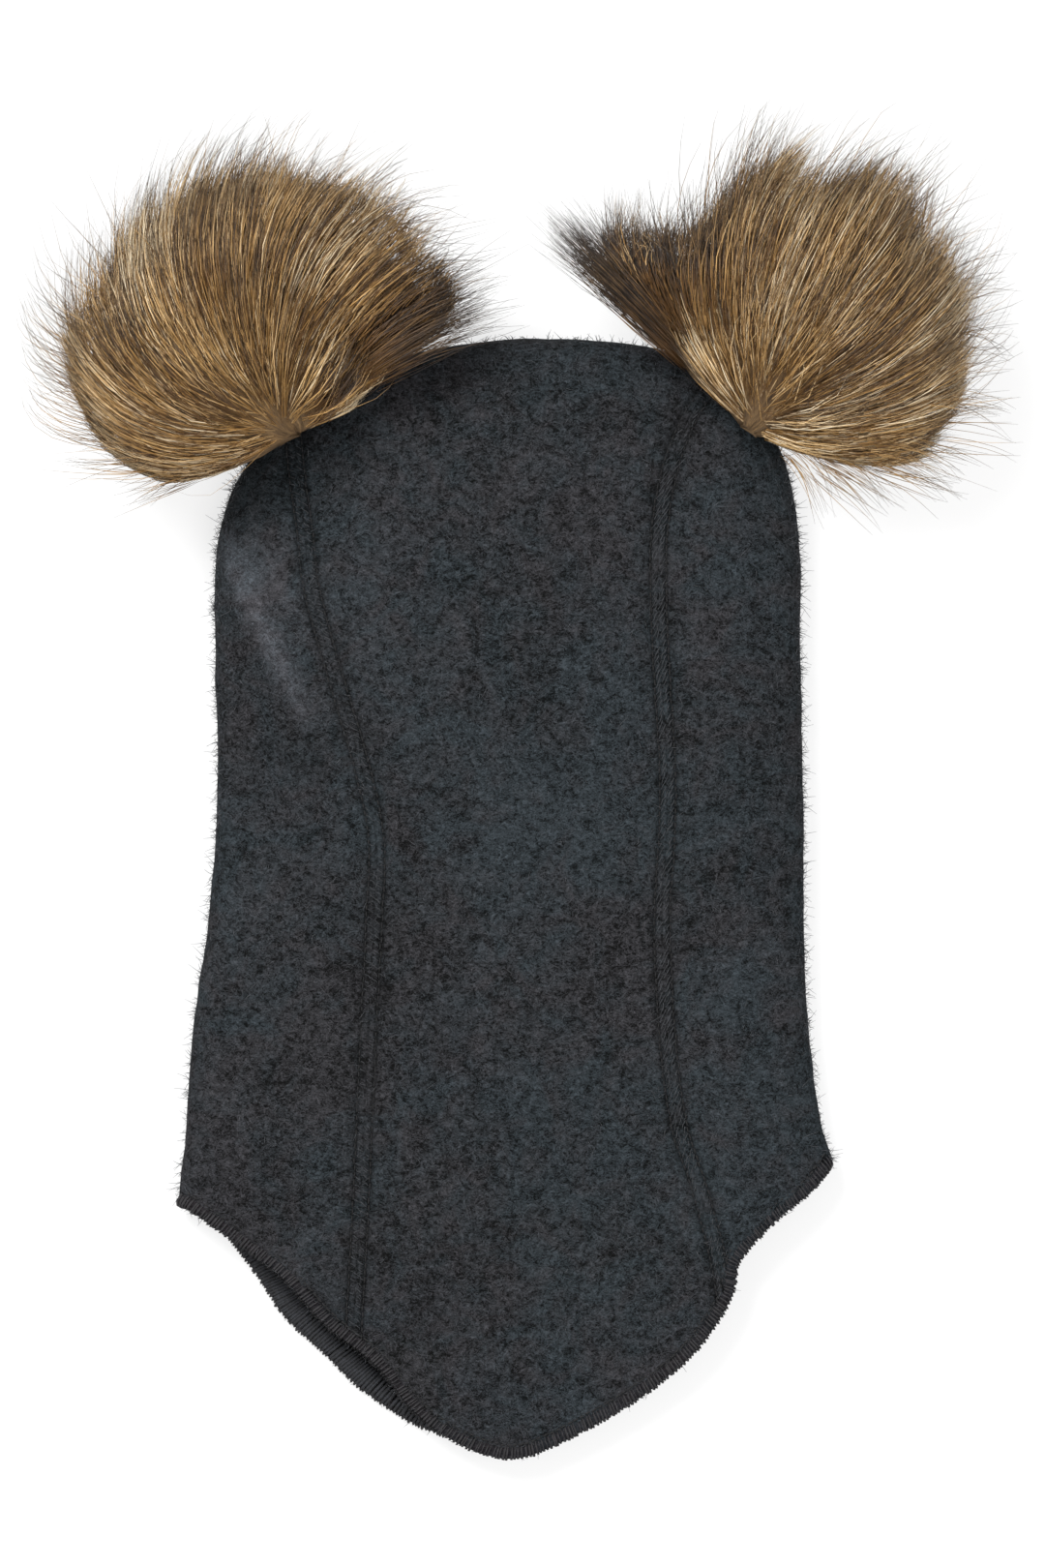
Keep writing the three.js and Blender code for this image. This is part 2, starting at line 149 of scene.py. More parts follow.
# Soft folds and dents: across, along, half length, half width, turn in degrees, rise in thicknesses
FOLDS = [
    (-0.76, 0.9, 0.4, 0.11, -57, 1.5),
    (-0.86, 0.74, 0.34, 0.13, -60, -1.6),
    (-0.62, 1.16, 0.28, 0.12, 80, -1.3),
    (0.6, 1.22, 0.3, 0.13, 60, -1.3),
    (-0.25, -0.05, 0.5, 0.16, 25, 0.9),
    (0.4, -0.2, 0.4, 0.15, -35, 0.8),
    (0.88, 0.1, 0.35, 0.16, 75, 0.8),
]

# Painted highlight along the fold on the left side, and painted shade below it: across, along, half length,
# half width, turn in degrees, lighter (darker below zero)
PAINTED_FOLD_LIGHT_AND_SHADE = [
    (-0.835, 0.93, 0.34, 0.04, -64, 1.0),
    (-0.9, 1.04, 0.14, 0.05, -66, 0.5),
    (-0.77, 1.0, 0.2, 0.04, -66, 0.4),
    (-0.72, 0.72, 0.12, 0.16, -64, -0.25),
]

# Pompoms
FUR_LENGTH = 92
BALL_CENTRE_Z = 40.5
BALL_HALF_HEIGHT = 41
BASE_Z = 30
CENTRE_FROM_BASE = 37
# Each outline row: heading from the sewn base in degrees, reach, and how many degrees the hairs start
# further round than they end. Each patch: heading, reach, both half sizes, and how much lighter it is.
# Each wisp: heading and reach where it starts, the same where it ends, how wide it is, hairs, tone.
# All reaches are shares of FUR_LENGTH. A base is given in shares of the hood's half width and length.
POMPOMS = {
    "left": {
        "node": "pompom_left",
        "base": (-0.735, 1.277),
        "gathered": (-1.5, -3.5),
        "lean": 107,
        "outline": [
            (14, 0.2, 2), (24, 0.42, 4), (31, 0.68, 9), (40, 0.77, 18), (49, 0.79, 26),
            (57, 0.84, 28), (69, 0.89, 27), (86, 0.92, 24), (100, 0.93, 23), (119, 0.92, 25),
            (133, 0.9, 27), (144, 0.87, 28), (156, 0.9, 28), (164, 0.86, 28), (175, 0.77, 27),
            (187, 0.68, 25), (198, 0.58, 20), (209, 0.47, 14), (222, 0.31, 8),
        ],
        "patches": [
            (37, 0.66, 12, 0.24, -0.66), (48, 0.46, 9, 0.14, -0.5), (56, 0.86, 14, 0.16, -0.12),
            (108, 0.66, 9, 0.3, -0.2), (93, 0.62, 7, 0.22, -0.22), (150, 0.62, 9, 0.26, -0.2),
            (128, 0.34, 12, 0.12, -0.1), (118, 0.17, 40, 0.12, 0.1), (192, 0.44, 14, 0.3, 0.24),
            (27, 0.34, 8, 0.3, 0.26), (68, 0.85, 10, 0.16, 0.14), (128, 0.8, 12, 0.14, 0.12),
        ],
        "wisps": [
            (38, 0.36, 33, 0.8, 5, 190, 0.14), (46, 0.42, 40, 0.84, 6, 150, 0.13),
            (52, 0.6, 44, 0.92, 6, 60, 0.2), (66, 0.7, 55, 0.95, 8, 60, 0.3),
            (84, 0.76, 76, 1.02, 8, 50, 0.3), (104, 0.76, 93, 1.06, 9, 60, 0.3),
            (122, 0.74, 112, 1.03, 9, 50, 0.3), (142, 0.72, 135, 1.04, 7, 50, 0.3),
            (158, 0.7, 154, 1.06, 7, 60, 0.3), (172, 0.64, 168, 0.96, 7, 50, 0.35),
            (188, 0.48, 184, 0.78, 7, 40, 0.4), (202, 0.36, 200, 0.6, 6, 24, 0.4),
        ],
    },
    "right": {
        "node": "pompom_right",
        "base": (0.826, 1.285),
        "gathered": (-0.5, -3.5),
        "lean": 58,
        "outline": [
            (-38, 0.16, -4), (-29, 0.28, -4), (-23, 0.45, -6), (-17, 0.6, -6), (-10, 0.64, -7),
            (-3, 0.7, -8), (4, 0.77, -8), (16, 0.81, -10), (26, 0.87, -10), (36, 0.93, -9),
            (45, 0.92, -7), (52, 0.97, -3), (59, 1.04, 0), (65, 1.0, 4), (72, 0.9, 8),
            (79, 0.9, 10), (85, 0.97, 12), (92, 0.87, 13), (100, 0.78, 14), (108, 0.71, 13),
            (118, 0.74, 9), (126, 0.81, 6), (132, 0.86, 3), (136, 0.66, 0), (139, 0.3, 0),
        ],
        "patches": [
            (130, 0.8, 9, 0.24, -0.62), (114, 0.68, 14, 0.14, -0.44), (100, 0.72, 9, 0.14, -0.2),
            (133, 0.35, 5, 0.3, -0.14), (60, 0.5, 10, 0.3, -0.1), (38, 0.6, 6, 0.3, -0.2),
            (86, 0.55, 5, 0.3, -0.12), (0, 0.14, 70, 0.13, 0.1), (-18, 0.44, 12, 0.32, 0.32),
            (6, 0.7, 8, 0.24, 0.16), (72, 0.7, 12, 0.3, 0.12), (47, 0.8, 6, 0.2, 0.12),
        ],
        "wisps": [
            (132, 0.34, 134, 0.95, 3, 300, 0.04), (130, 0.44, 130, 0.93, 4, 240, 0.06),
            (127, 0.6, 120, 0.88, 6, 70, 0.14), (117, 0.58, 110, 0.84, 6, 70, 0.18),
            (106, 0.58, 101, 0.86, 6, 60, 0.22), (98, 0.64, 93, 0.98, 5, 60, 0.26),
            (91, 0.7, 85, 1.1, 4, 90, 0.26), (78, 0.74, 72, 1.05, 6, 50, 0.3),
            (66, 0.8, 62, 1.14, 6, 60, 0.3), (56, 0.8, 54, 1.16, 6, 60, 0.3),
            (44, 0.74, 41, 1.08, 7, 50, 0.3), (28, 0.7, 24, 1.0, 8, 50, 0.35),
            (8, 0.6, 5, 0.92, 8, 50, 0.4), (-12, 0.44, -15, 0.76, 7, 60, 0.4),
            (-22, 0.26, -28, 0.54, 7, 40, 0.4), (-28, 0.14, -44, 0.4, 8, 20, 0.4),
        ],
    },
}


# Forms of the hood, worked out on arrays of points
def follow(table, column, value):
    """A column of a table at any value of its first one, on a smooth curve through the rows."""
    rows = np.asarray(table, dtype=float)
    keys, heights = rows[:, 0], rows[:, column]
    last = len(rows) - 1
    before = np.maximum(np.arange(last + 1) - 1, 0)
    after = np.minimum(np.arange(last + 1) + 1, last)
    slopes = (heights[after] - heights[before]) / (keys[after] - keys[before])
    to = np.clip(np.searchsorted(keys, value), 1, last)
    span = keys[to] - keys[to - 1]
    t = np.clip((value - keys[to - 1]) / span, 0, 1)
    curve = heights[to - 1] * (1 + 2 * t) * (1 - t) ** 2 + heights[to] * t * t * (3 - 2 * t)
    return curve + span * (slopes[to - 1] * t * (1 - t) ** 2 + slopes[to] * t * t * (t - 1))


def along_share(y):
    return (y - CORNER_Y) / BODY_LENGTH


def crown_share(y):
    return np.clip((y - SPRING_Y) / CROWN_RISE, 0, 1)


def fall(share, power):
    return (1 - share ** power) ** (1 / power)


def hood_sides(y):
    """The hood's left and right edge at places along it."""
    up, apex = crown_share(y), HALF_WIDTH * APEX_ACROSS
    left = HALF_WIDTH * follow(BODY, 1, along_share(y))
    right = HALF_WIDTH * follow(BODY, 2, along_share(y))
    left = apex - (apex - left) * fall(up, CROWN_ROUND_LEFT)
    return left, apex + (right - apex) * fall(up, CROWN_ROUND_RIGHT)


def spots(table, x, y, power, unit_amount=1):
    """The sum of soft oval spots. The higher the power, the more sudden their ends."""
    total = 0
    for across, along, long, wide, turn, amount in table:
        dx, dy = x - HALF_WIDTH * across, y - (CORNER_Y + BODY_LENGTH * along)
        c, s = math.cos(math.radians(turn)), math.sin(math.radians(turn))
        lengthways = ((dx * c + dy * s) / (HALF_WIDTH * long)) ** power
        sideways = ((dy * c - dx * s) / (HALF_WIDTH * wide)) ** 2
        total = total + amount * unit_amount * np.exp(-(lengthways + sideways))
    return total


def upper_z(x, y):
    """Height of the hood's upper layer."""
    left, right = hood_sides(y)
    half = np.maximum((right - left) / 2, 1e-6)
    side = np.clip(np.abs((x - (left + right) / 2) / half), 0, 1)
    height = HEAD_HEIGHT * follow(BODY, 3, along_share(y))
    folds = spots(FOLDS, x, y, 2, FLEECE)
    rise = (height - FOLD_RADIUS + folds) * fall(crown_share(y), CROWN_SLOPE)
    return FOLD_RADIUS + fall(side, SECTION_ROUND) * rise


def lower_z(x, y):
    """Height of the underside of the hood's lower layer."""
    left, right = hood_sides(y)
    fold = np.minimum(FOLD_RADIUS, np.maximum((right - left) / 2, 1e-6) * NARROWEST)
    near = np.clip(1 - np.minimum(x - left, right - x) / fold, 0, 1)
    from_apex = np.minimum((1 - crown_share(y)) * CROWN_RISE / FOLD_RADIUS, 1)
    return FOLD_RADIUS - FOLD_RADIUS * np.sqrt(1 - (1 - from_apex) ** 2) * np.sqrt(1 - near * near)


def seam_x(side, y):
    return HALF_WIDTH * follow(SEAMS, 1 if side < 0 else 2, along_share(y))


def hem_line(table, inset):
    """Points along a neck hem, moved into the cloth, running out past the side folds."""
    knots = np.array([(HALF_WIDTH * x, CORNER_Y - drop * BIB_DROP) for x, drop in table])
    padded = np.vstack([knots[0], knots, knots[-1]])
    pieces = []
    t = np.linspace(0, 1, 24, endpoint=False)[:, None]
    for a, b, c, d in zip(padded, padded[1:], padded[2:], padded[3:]):
        v0, v1 = (c - a) / 2, (d - b) / 2
        cubic, square = 2 * b - 2 * c + v0 + v1, 3 * c - 3 * b - 2 * v0 - v1
        pieces.append(cubic * t ** 3 + square * t * t + v0 * t + b)
    line = np.vstack([*pieces, knots[-1]])
    tangent = np.gradient(line, axis=0)
    tangent /= np.linalg.norm(tangent, axis=1)[:, None]
    line = line + inset * np.column_stack([-tangent[:, 1], tangent[:, 0]])
    run_out = HALF_WIDTH * tangent[[0, -1]]
    return np.vstack([line[0] - run_out[0], line, line[-1] + run_out[1]])


def spaced(points, count, shares=None):
    """The same path through evenly spaced points, or through points at given shares of its length."""
    steps = np.linalg.norm(np.diff(points, axis=0), axis=1)
    far = np.concatenate([[0], np.cumsum(steps)])
    wanted = far[-1] * (np.linspace(0, 1, count) if shares is None else shares)
    return np.column_stack([np.interp(wanted, far, points[:, k]) for k in range(3)])


def run_length(path, closed=False):
    steps = np.roll(path, -1, axis=0) - path if closed else np.diff(path, axis=0)
    return np.linalg.norm(steps, axis=1).sum()


def meeting_y(x_of_y, low, high):
    """Where a line along the hat leaves the hood's outline."""
    for _ in range(50):
        y = (low + high) / 2
        left, right = hood_sides(np.array(y))
        inside = left < x_of_y(y) < right
        low, high = (y, high) if inside else (low, y)
    return low


def over_crown(x_of_y, start, end):
    """A line along the hat, up its upper layer, round the crown's fold and down its lower layer."""
    top = meeting_y(x_of_y, 100, CROWN_TOP_Y)
    t = np.linspace(0, 1, 500)
    rise = start + (top - start) * (1 - (1 - t) ** 3)
    drop = end + (top - end) * (1 - t ** 2)
    up = np.column_stack([x_of_y(rise), rise, upper_z(x_of_y(rise), rise)])
    down = np.column_stack([x_of_y(drop), drop, lower_z(x_of_y(drop), drop)])
    return np.vstack([up[:-1], down])


def off_seam(side, x, y):
    """How far places are from a seam."""
    slope = (seam_x(side, y + 1) - seam_x(side, y - 1)) / 2
    return np.abs(x - seam_x(side, y)) / np.sqrt(1 + slope * slope)


def bell(off, half_width, power=2):
    return np.exp(-((off / half_width) ** power))


def seam_relief(x, y):
    """How far the double row of stitches pulls the cloth in, and the band between them stands up."""
    relief = 0
    for side in (-1, 1):
        off = off_seam(side, x, y)
        relief = relief - ROW_DEPTH * bell(off - SEAM_HALF_BAND, 0.8)
        relief = relief + BAND_RISE * bell(off, 2.2, 4) - SEAM_DIP * bell(off, 9)
    return relief


# Making pieces
def rough(points, size, seed):
    """Smooth random values from -1 to 1 that change over a distance of about size."""
    shift = Vector((seed * 7.3, seed * 3.1, seed * 5.7))
    flat = points.reshape(-1, 3) / size
    return np.array([noise.noise(Vector(p) + shift) for p in flat]).reshape(points.shape[:-1])


def piece_of(name, mesh, nodes, material):
    piece = bpy.data.objects.new(name, mesh)
    bpy.context.collection.objects.link(piece)
    mesh.materials.append(material)
    mesh.shade_smooth()
    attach(piece, "root")
    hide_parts(*nodes)
    return piece


def mapped_grid(name, points, turned=False):
    """A grid of faces laid through points[row, column]. Rows and columns that meet are joined."""
    rows, columns = points.shape[:2]
    grid = bmesh.new()
    grid.loops.layers.uv.new("sheet")
    bmesh.ops.create_grid(grid, x_segments=columns - 1, y_segments=rows - 1, size=1, calc_uvs=True)
    for vert in grid.verts:
        column = round((vert.co.x + 1) / 2 * (columns - 1))
        row = round((vert.co.y + 1) / 2 * (rows - 1))
        vert.co = points[row, column] * MM
    bmesh.ops.remove_doubles(grid, verts=grid.verts, dist=2e-6)
    if turned:
        bmesh.ops.reverse_faces(grid, faces=grid.faces)
    mesh = bpy.data.meshes.new(name)
    grid.to_mesh(mesh)
    grid.free()
    return mesh


def vertex_arrays(mesh):
    count = len(mesh.vertices)
    places, normals = np.empty(count * 3), np.empty(count * 3)
    mesh.vertices.foreach_get("co", places)
    mesh.vertices.foreach_get("normal", normals)
    return places.reshape(-1, 3) / MM, normals.reshape(-1, 3)


def seam_shade_amount(x, y):
    """How near a place is to a row of seam stitches, where painted shade darkens the cloth's colour along
    the grooves.
    """
    press = 0
    for side in (-1, 1):
        off = off_seam(side, x, y)
        press = press + 0.75 * bell(off - SEAM_HALF_BAND, 0.9) + 0.12 * bell(off, 5)
    return press


def mark_cloth(mesh):
    """The cloth's own attributes for its material: painted shade along the seam rows, and a painted
    highlight and painted shade at the fold on the upper layer.
    """
    places, normals = vertex_arrays(mesh)
    x, y = places[:, 0], places[:, 1]
    upper = np.clip(normals[:, 2] * 2, 0, 1)
    marks = {"painted_seam_shade": seam_shade_amount(x, y), "painted_fold_light_and_shade": spots(PAINTED_FOLD_LIGHT_AND_SHADE, x, y, 4) * upper}
    for label, values in marks.items():
        mesh.attributes.new(label, "FLOAT", "POINT").data.foreach_set("value", values)


def cloth_relief(mesh):
    """Seam relief and the slight unevenness of a soft pile, pushed along the cloth's own normals."""
    places, normals = vertex_arrays(mesh)
    push = seam_relief(places[:, 0], places[:, 1])
    for seed, (depth, size) in enumerate(((0.55, 26), (0.3, 9), (0.16, 3.6)), 1):
        push = push + depth * rough(places, size, seed)
    under = places[:, 2] < 1.5
    push = np.where(under, np.minimum(push, 0), push)
    places += normals * push[:, None]
    mesh.vertices.foreach_set("co", (places * MM).ravel())
    mesh.update()


def strands(name, slot, nodes, material, paths, radii, tones, sides=3):
    """Many closed tapering tubes as one piece. Its UV map holds each tube's tone and the place along it."""
    count, rings = paths.shape[:2]
    ahead = np.gradient(paths, axis=1)
    ahead /= np.linalg.norm(ahead, axis=2, keepdims=True) + 1e-9
    up = np.zeros_like(ahead)
    up[..., 2] = 1
    up[np.abs(ahead[..., 2]) > 0.94] = (0.6, 0.8, 0)
    aside = np.cross(ahead, up)
    aside /= np.linalg.norm(aside, axis=2, keepdims=True) + 1e-9
    over = np.cross(aside, ahead)
    turn = np.arange(sides)[:, None] / sides * 2 * np.pi
    ring = np.cos(turn) * aside[:, :, None] + np.sin(turn) * over[:, :, None]
    body = paths[:, :, None] + ring * radii[:, :, None, None]
    tip = paths[:, -1] + ahead[:, -1] * radii[:, -1:] * 1.5
    verts = np.concatenate([body.reshape(count, rings * sides, 3), tip[:, None]], axis=1)
    corners = rings * sides + 1
    top = (rings - 1) * sides
    faces = [(i + j, i + sides + j, i + sides + (j + 1) % sides, i + (j + 1) % sides)
             for i in range(0, top, sides) for j in range(sides)]
    faces += [(top + j, rings * sides, top + (j + 1) % sides) for j in range(sides)]
    faces.append(tuple(range(sides)))
    loops = np.concatenate(faces)
    starts = np.concatenate([[0], np.cumsum([len(face) for face in faces])[:-1]])
    mesh = bpy.data.meshes.new(name)
    mesh.vertices.add(count * corners)
    mesh.vertices.foreach_set("co", (verts * MM).ravel())
    mesh.loops.add(count * len(loops))
    shift = np.arange(count)[:, None]
    mesh.loops.foreach_set("vertex_index", (loops[None] + shift * corners).ravel())
    mesh.polygons.add(count * len(faces))
    mesh.polygons.foreach_set("loop_start", (starts[None] + shift * len(loops)).ravel())
    mesh.update(calc_edges=True)
    along = np.concatenate([np.repeat(np.linspace(0, 1, rings), sides), [1.0]])
    uv = np.empty((count, len(loops), 2))
    uv[..., 0] = np.clip(tones, 0.01, 0.99)[:, None]
    uv[..., 1] = along[loops][None]
    mesh.uv_layers.new(name="strand").data.foreach_set("uv", uv.ravel())
    return piece_of(name, mesh, nodes, material)


# Materials
def colour(code):
    """The linear colour of a six-figure screen colour."""
    parts = [int(code[k : k + 2], 16) / 255 for k in (0, 2, 4)]
    return (*(c / 12.92 if c <= 0.04045 else ((c + 0.055) / 1.055) ** 2.4 for c in parts), 1)


def add(tree, kind, links, **settings):
    """A node with its settings made and its sockets, by name or number, filled or linked."""
    made = tree.nodes.new(kind)
    for key, value in settings.items():
        setattr(made, key, value)
    for key, value in links.items():
        if isinstance(value, bpy.types.NodeSocket):
            tree.links.new(value, made.inputs[key])
        else:
            made.inputs[key].default_value = value
    return made


def blend(tree, factor, low, high, mode="MIX"):
    mixed = add(tree, "ShaderNodeMix", {0: factor, 6: low, 7: high}, data_type="RGBA", blend_type=mode)
    return mixed.outputs[2]


def ranged(tree, value, low, high, to_low=0.0, to_high=1.0):
    links = {0: value, 1: low, 2: high, 3: to_low, 4: to_high}
    return add(tree, "ShaderNodeMapRange", links).outputs[0]


def math_node(tree, operation, first, second=0.0, **settings):
    return add(tree, "ShaderNodeMath", {0: first, 1: second}, operation=operation, **settings).outputs[0]


def new_material(name):
    material = bpy.data.materials.new(name)
    material.use_nodes = True
    tree = material.node_tree
    shader = tree.nodes["Principled BSDF"]
    return material, tree, shader


def noise_node(tree, vector, scale, detail, roughness, distortion=0.0):
    links = {"Vector": vector, "Scale": scale, "Detail": detail, "Roughness": roughness}
    return add(tree, "ShaderNodeTexNoise", {**links, "Distortion": distortion}).outputs[0]


def weighed(tree, first, share, second, other_share):
    """The sum of two values, each times its share."""
    one, two = math_node(tree, "MULTIPLY", first, share), math_node(tree, "MULTIPLY", second, other_share)
    return math_node(tree, "ADD", one, two)


def curl_lines(tree, vector, scale):
    """Thin curly lines, 1 on the line: the light fibres that lie on the pile."""
    field = noise_node(tree, vector, scale, 1, 0.5, 1.6)
    away = math_node(tree, "ABSOLUTE", math_node(tree, "SUBTRACT", field, 0.5))
    return ranged(tree, away, 0.0, 0.04, 1.0, 0.0)


def melange_group():
    """Wool fibres of several greys, felted together: colours and height at places in metres."""
    group = bpy.data.node_groups.new("melange", "ShaderNodeTree")
    colours = dict.fromkeys(("Dark", "Light", "Cool", "Warm"), "Color")
    inputs = {"Vector": "Vector", **colours, "Contrast": "Float"}
    for way, labels in (("INPUT", inputs), ("OUTPUT", {"Color": "Color", "Height": "Float"})):
        for label, kind in labels.items():
            group.interface.new_socket(name=label, in_out=way, socket_type=f"NodeSocket{kind}")
    inside = group.nodes.new("NodeGroupInput").outputs
    place = inside["Vector"]
    streaks = []
    for turn in (0.5, -0.7):
        links = {"Vector": place, "Rotation": (0, 0, turn), "Scale": (1, 1.5, 1.5)}
        streaks.append(add(group, "ShaderNodeMapping", links).outputs[0])
    along, slant = streaks
    fibres = noise_node(group, along, 560, 3, 0.7, 1.2)
    more = noise_node(group, slant, 860, 2, 0.7, 1.0)
    flecks = noise_node(group, place, 300, 4, 0.75, 0.6)
    patches = noise_node(group, place, 70, 3, 0.6, 0.8)
    clouds = noise_node(group, place, 20, 2, 0.5)
    hues = noise_node(group, place, 60, 3, 0.6, 0.8)
    wide_hues = noise_node(group, place, 13, 1, 0.5)
    curls = curl_lines(group, place, 300)
    more_curls = curl_lines(group, slant, 430)
    fine = weighed(group, fibres, 0.5, more, 0.5)
    mixed = weighed(group, fine, 0.62, flecks, 0.38)
    wide = weighed(group, patches, 0.62, clouds, 0.38)
    shade = weighed(group, mixed, 0.84, wide, 0.16)
    hair = weighed(group, curls, 0.5, more_curls, 0.5)
    steep = math_node(group, "MULTIPLY", math_node(group, "SUBTRACT", shade, 0.5), inside["Contrast"])
    ground = math_node(group, "ADD", steep, 0.21)
    level = math_node(group, "ADD", ground, math_node(group, "MULTIPLY", hair, 0.62), use_clamp=True)
    base = blend(group, level, inside["Dark"], inside["Light"])
    hue = weighed(group, hues, 0.62, wide_hues, 0.38)
    tint = blend(group, ranged(group, hue, 0.41, 0.59), inside["Warm"], inside["Cool"])
    kept = blend(group, 1.0, base, tint, "MULTIPLY")
    out = group.nodes.new("NodeGroupOutput")
    group.links.new(kept, out.inputs["Color"])
    group.links.new(mixed, out.inputs["Height"])
    return group


def fabric(name, dark, light, contrast, bump):
    """Melange cloth, with painted shade along the seam rows, and a painted highlight with painted shade
    below it at the fold.
    """
    material, tree, shader = new_material(name)
    place = tree.nodes.new("ShaderNodeTexCoord").outputs["Object"]
    tints = {"Dark": colour(dark), "Light": colour(light), "Cool": COOL_TINT, "Warm": WARM_TINT}
    links = {"Vector": place, **tints, "Contrast": contrast}
    cloth = add(tree, "ShaderNodeGroup", links, node_tree=melange)
    painted_seam_shade = add(tree, "ShaderNodeAttribute", {}, attribute_name="painted_seam_shade").outputs["Fac"]
    painted_fold_light_and_shade = add(tree, "ShaderNodeAttribute", {}, attribute_name="painted_fold_light_and_shade").outputs["Fac"]
    # Painted highlight on the fold: the cloth's colour is doubled and hazed towards a pale grey where the
    # fold is painted lighter
    doubled = blend(tree, 1.0, cloth.outputs["Color"], cloth.outputs["Color"], "ADD")
    painted_highlight_colour = blend(tree, 0.12, doubled, colour("77757d"))
    lighter = blend(tree, ranged(tree, painted_fold_light_and_shade, 0.0, 1.0, 0.0, 0.62), cloth.outputs["Color"], painted_highlight_colour)
    # Painted shade below the fold: the colour is darkened towards the dark grey
    darker = blend(tree, ranged(tree, painted_fold_light_and_shade, 0.0, -1.0, 0.0, 0.7), lighter, colour(dark))
    # Painted shade along the seam rows: the colour is darkened towards the dark grey
    shade = blend(tree, ranged(tree, painted_seam_shade, 0.0, 1.0, 0.0, 0.62), darker, colour(dark))
    tree.links.new(shade, shader.inputs["Base Color"])
    height = {"Height": cloth.outputs["Height"], "Strength": bump, "Distance": 0.0012}
    tree.links.new(add(tree, "ShaderNodeBump", height).outputs[0], shader.inputs["Normal"])
    shader.inputs["Roughness"].default_value = 0.95
    shader.inputs["Specular IOR Level"].default_value = 0.06
    return material


# Tones of the hairs, from the darkest to the lightest
FUR_TONES = [
    (0, "1d130b"), (0.2, "48321c"), (0.42, "836234"), (0.62, "ae8953"), (0.8, "cbac7d"), (1, "dfcfb1"),
]


def fur_material(name, dark_tip):
    """Hair whose tone is the first UV value, and which darkens to its tip along the second."""
    material, tree, shader = new_material(name)
    uv = add(tree, "ShaderNodeUVMap", {}, uv_map="strand").outputs[0]
    parts = add(tree, "ShaderNodeSeparateXYZ", {"Vector": uv}).outputs
    place = tree.nodes.new("ShaderNodeTexCoord").outputs["Object"]
    streaks = noise_node(tree, place, 160, 2, 0.6)
    tone = math_node(tree, "ADD", parts[0], ranged(tree, streaks, 0.3, 0.7, -0.1, 0.1))
    ramp = add(tree, "ShaderNodeValToRGB", {0: tone})
    stops = ramp.color_ramp.elements
    stops.remove(stops[1])
    for position, code in FUR_TONES:
        stop = stops.new(position) if position > 0 else stops[0]
        stop.color = colour(code)
    tips = ranged(tree, parts[1], 0.58, 0.97, 0.0, dark_tip)
    deep = ranged(tree, parts[1], 0.0, 0.35, 0.45, 0.0)
    rooted = blend(tree, deep, ramp.outputs[0], colour("7a5426"))
    outer = ranged(tree, parts[1], 0.35, 0.75, 0.0, 0.3)
    faded = math_node(tree, "MULTIPLY", outer, ranged(tree, tone, 0.0, 1.0))
    rooted = blend(tree, faded, rooted, colour("bdae94"))
    tree.links.new(blend(tree, tips, rooted, colour("1b120b")), shader.inputs["Base Color"])
    shader.inputs["Roughness"].default_value = 0.5
    shader.inputs["Specular IOR Level"].default_value = 0.35
    return material


def core_material():
    """The stuffed ball under the hairs: dark streaks that run from the sewn base to the far end."""
    material, tree, shader = new_material("fur ground")
    uv = add(tree, "ShaderNodeUVMap", {}, uv_map="ball").outputs[0]
    stretched = add(tree, "ShaderNodeMapping", {"Vector": uv, "Scale": (90, 5, 1)}).outputs[0]
    streaks = noise_node(tree, stretched, 2, 4, 0.7)
    mixed = blend(tree, ranged(tree, streaks, 0.3, 0.7), colour("3a2817"), colour("8a6c45"))
    tree.links.new(mixed, shader.inputs["Base Color"])
    bump = add(tree, "ShaderNodeBump", {"Height": streaks, "Strength": 0.6, "Distance": 0.002}).outputs[0]
    tree.links.new(bump, shader.inputs["Normal"])
    shader.inputs["Roughness"].default_value = 0.7
    return material


def thread_material(name, low, high):
    material, tree, shader = new_material(name)
    place = tree.nodes.new("ShaderNodeTexCoord").outputs["Object"]
    twist = noise_node(tree, place, 900, 2, 0.6)
    mixed = blend(tree, ranged(tree, twist, 0.35, 0.65), colour(low), colour(high))
    tree.links.new(mixed, shader.inputs["Base Color"])
    bump = add(tree, "ShaderNodeBump", {"Height": twist, "Strength": 0.5, "Distance": 0.0004}).outputs[0]
    tree.links.new(bump, shader.inputs["Normal"])
    shader.inputs["Roughness"].default_value = 0.85
    return material


# What a cooler and a warmer spot of the wool multiplies its grey by
COOL_TINT = (0.89, 1.03, 1.05, 1)
WARM_TINT = (1.06, 0.99, 0.97, 1)
melange = melange_group()
fleece = fabric("melange fleece", "090a0a", "3d3f43", 3.8, 1.0)
edging = fabric("overlocked edge", "08080a", "302f32", 2.4, 0.8)
seam_thread = thread_material("seam thread", "030304", "0d0d0f")
edge_thread = thread_material("overlock yarn", "0f0e10", "222023")
loop_thread = thread_material("inner loops", "0d0e11", "1f2126")
cross_thread = thread_material("cross thread", "1a1c1e", "34363a")
nap_fibre = thread_material("nap fibre", "1a1c1e", "46484c")
guard_hair = fur_material("guard hair", 0.92)
under_hair = fur_material("under hair", 0.35)
fur_ground = core_material()


# Sewn panels
def hem_height(table, inset):
    """The height along the hat of a neck hem at any place across it."""
    line = hem_line(table, inset)
    across = np.maximum.accumulate(line[:, 0])
    return lambda x: np.interp(x, across, line[:, 1])


TUCK = 2.4
back_hem_y = hem_height(BACK_HEM, TUCK)
front_hem_y = hem_height(FRONT_HEM, TUCK)


def hem_start(x_of_y, hem):
    """Where a line along the hat starts at a hem."""
    y = 0.0
    for _ in range(60):
        y = 0.5 * y + 0.5 * float(hem(x_of_y(y)))
    return y


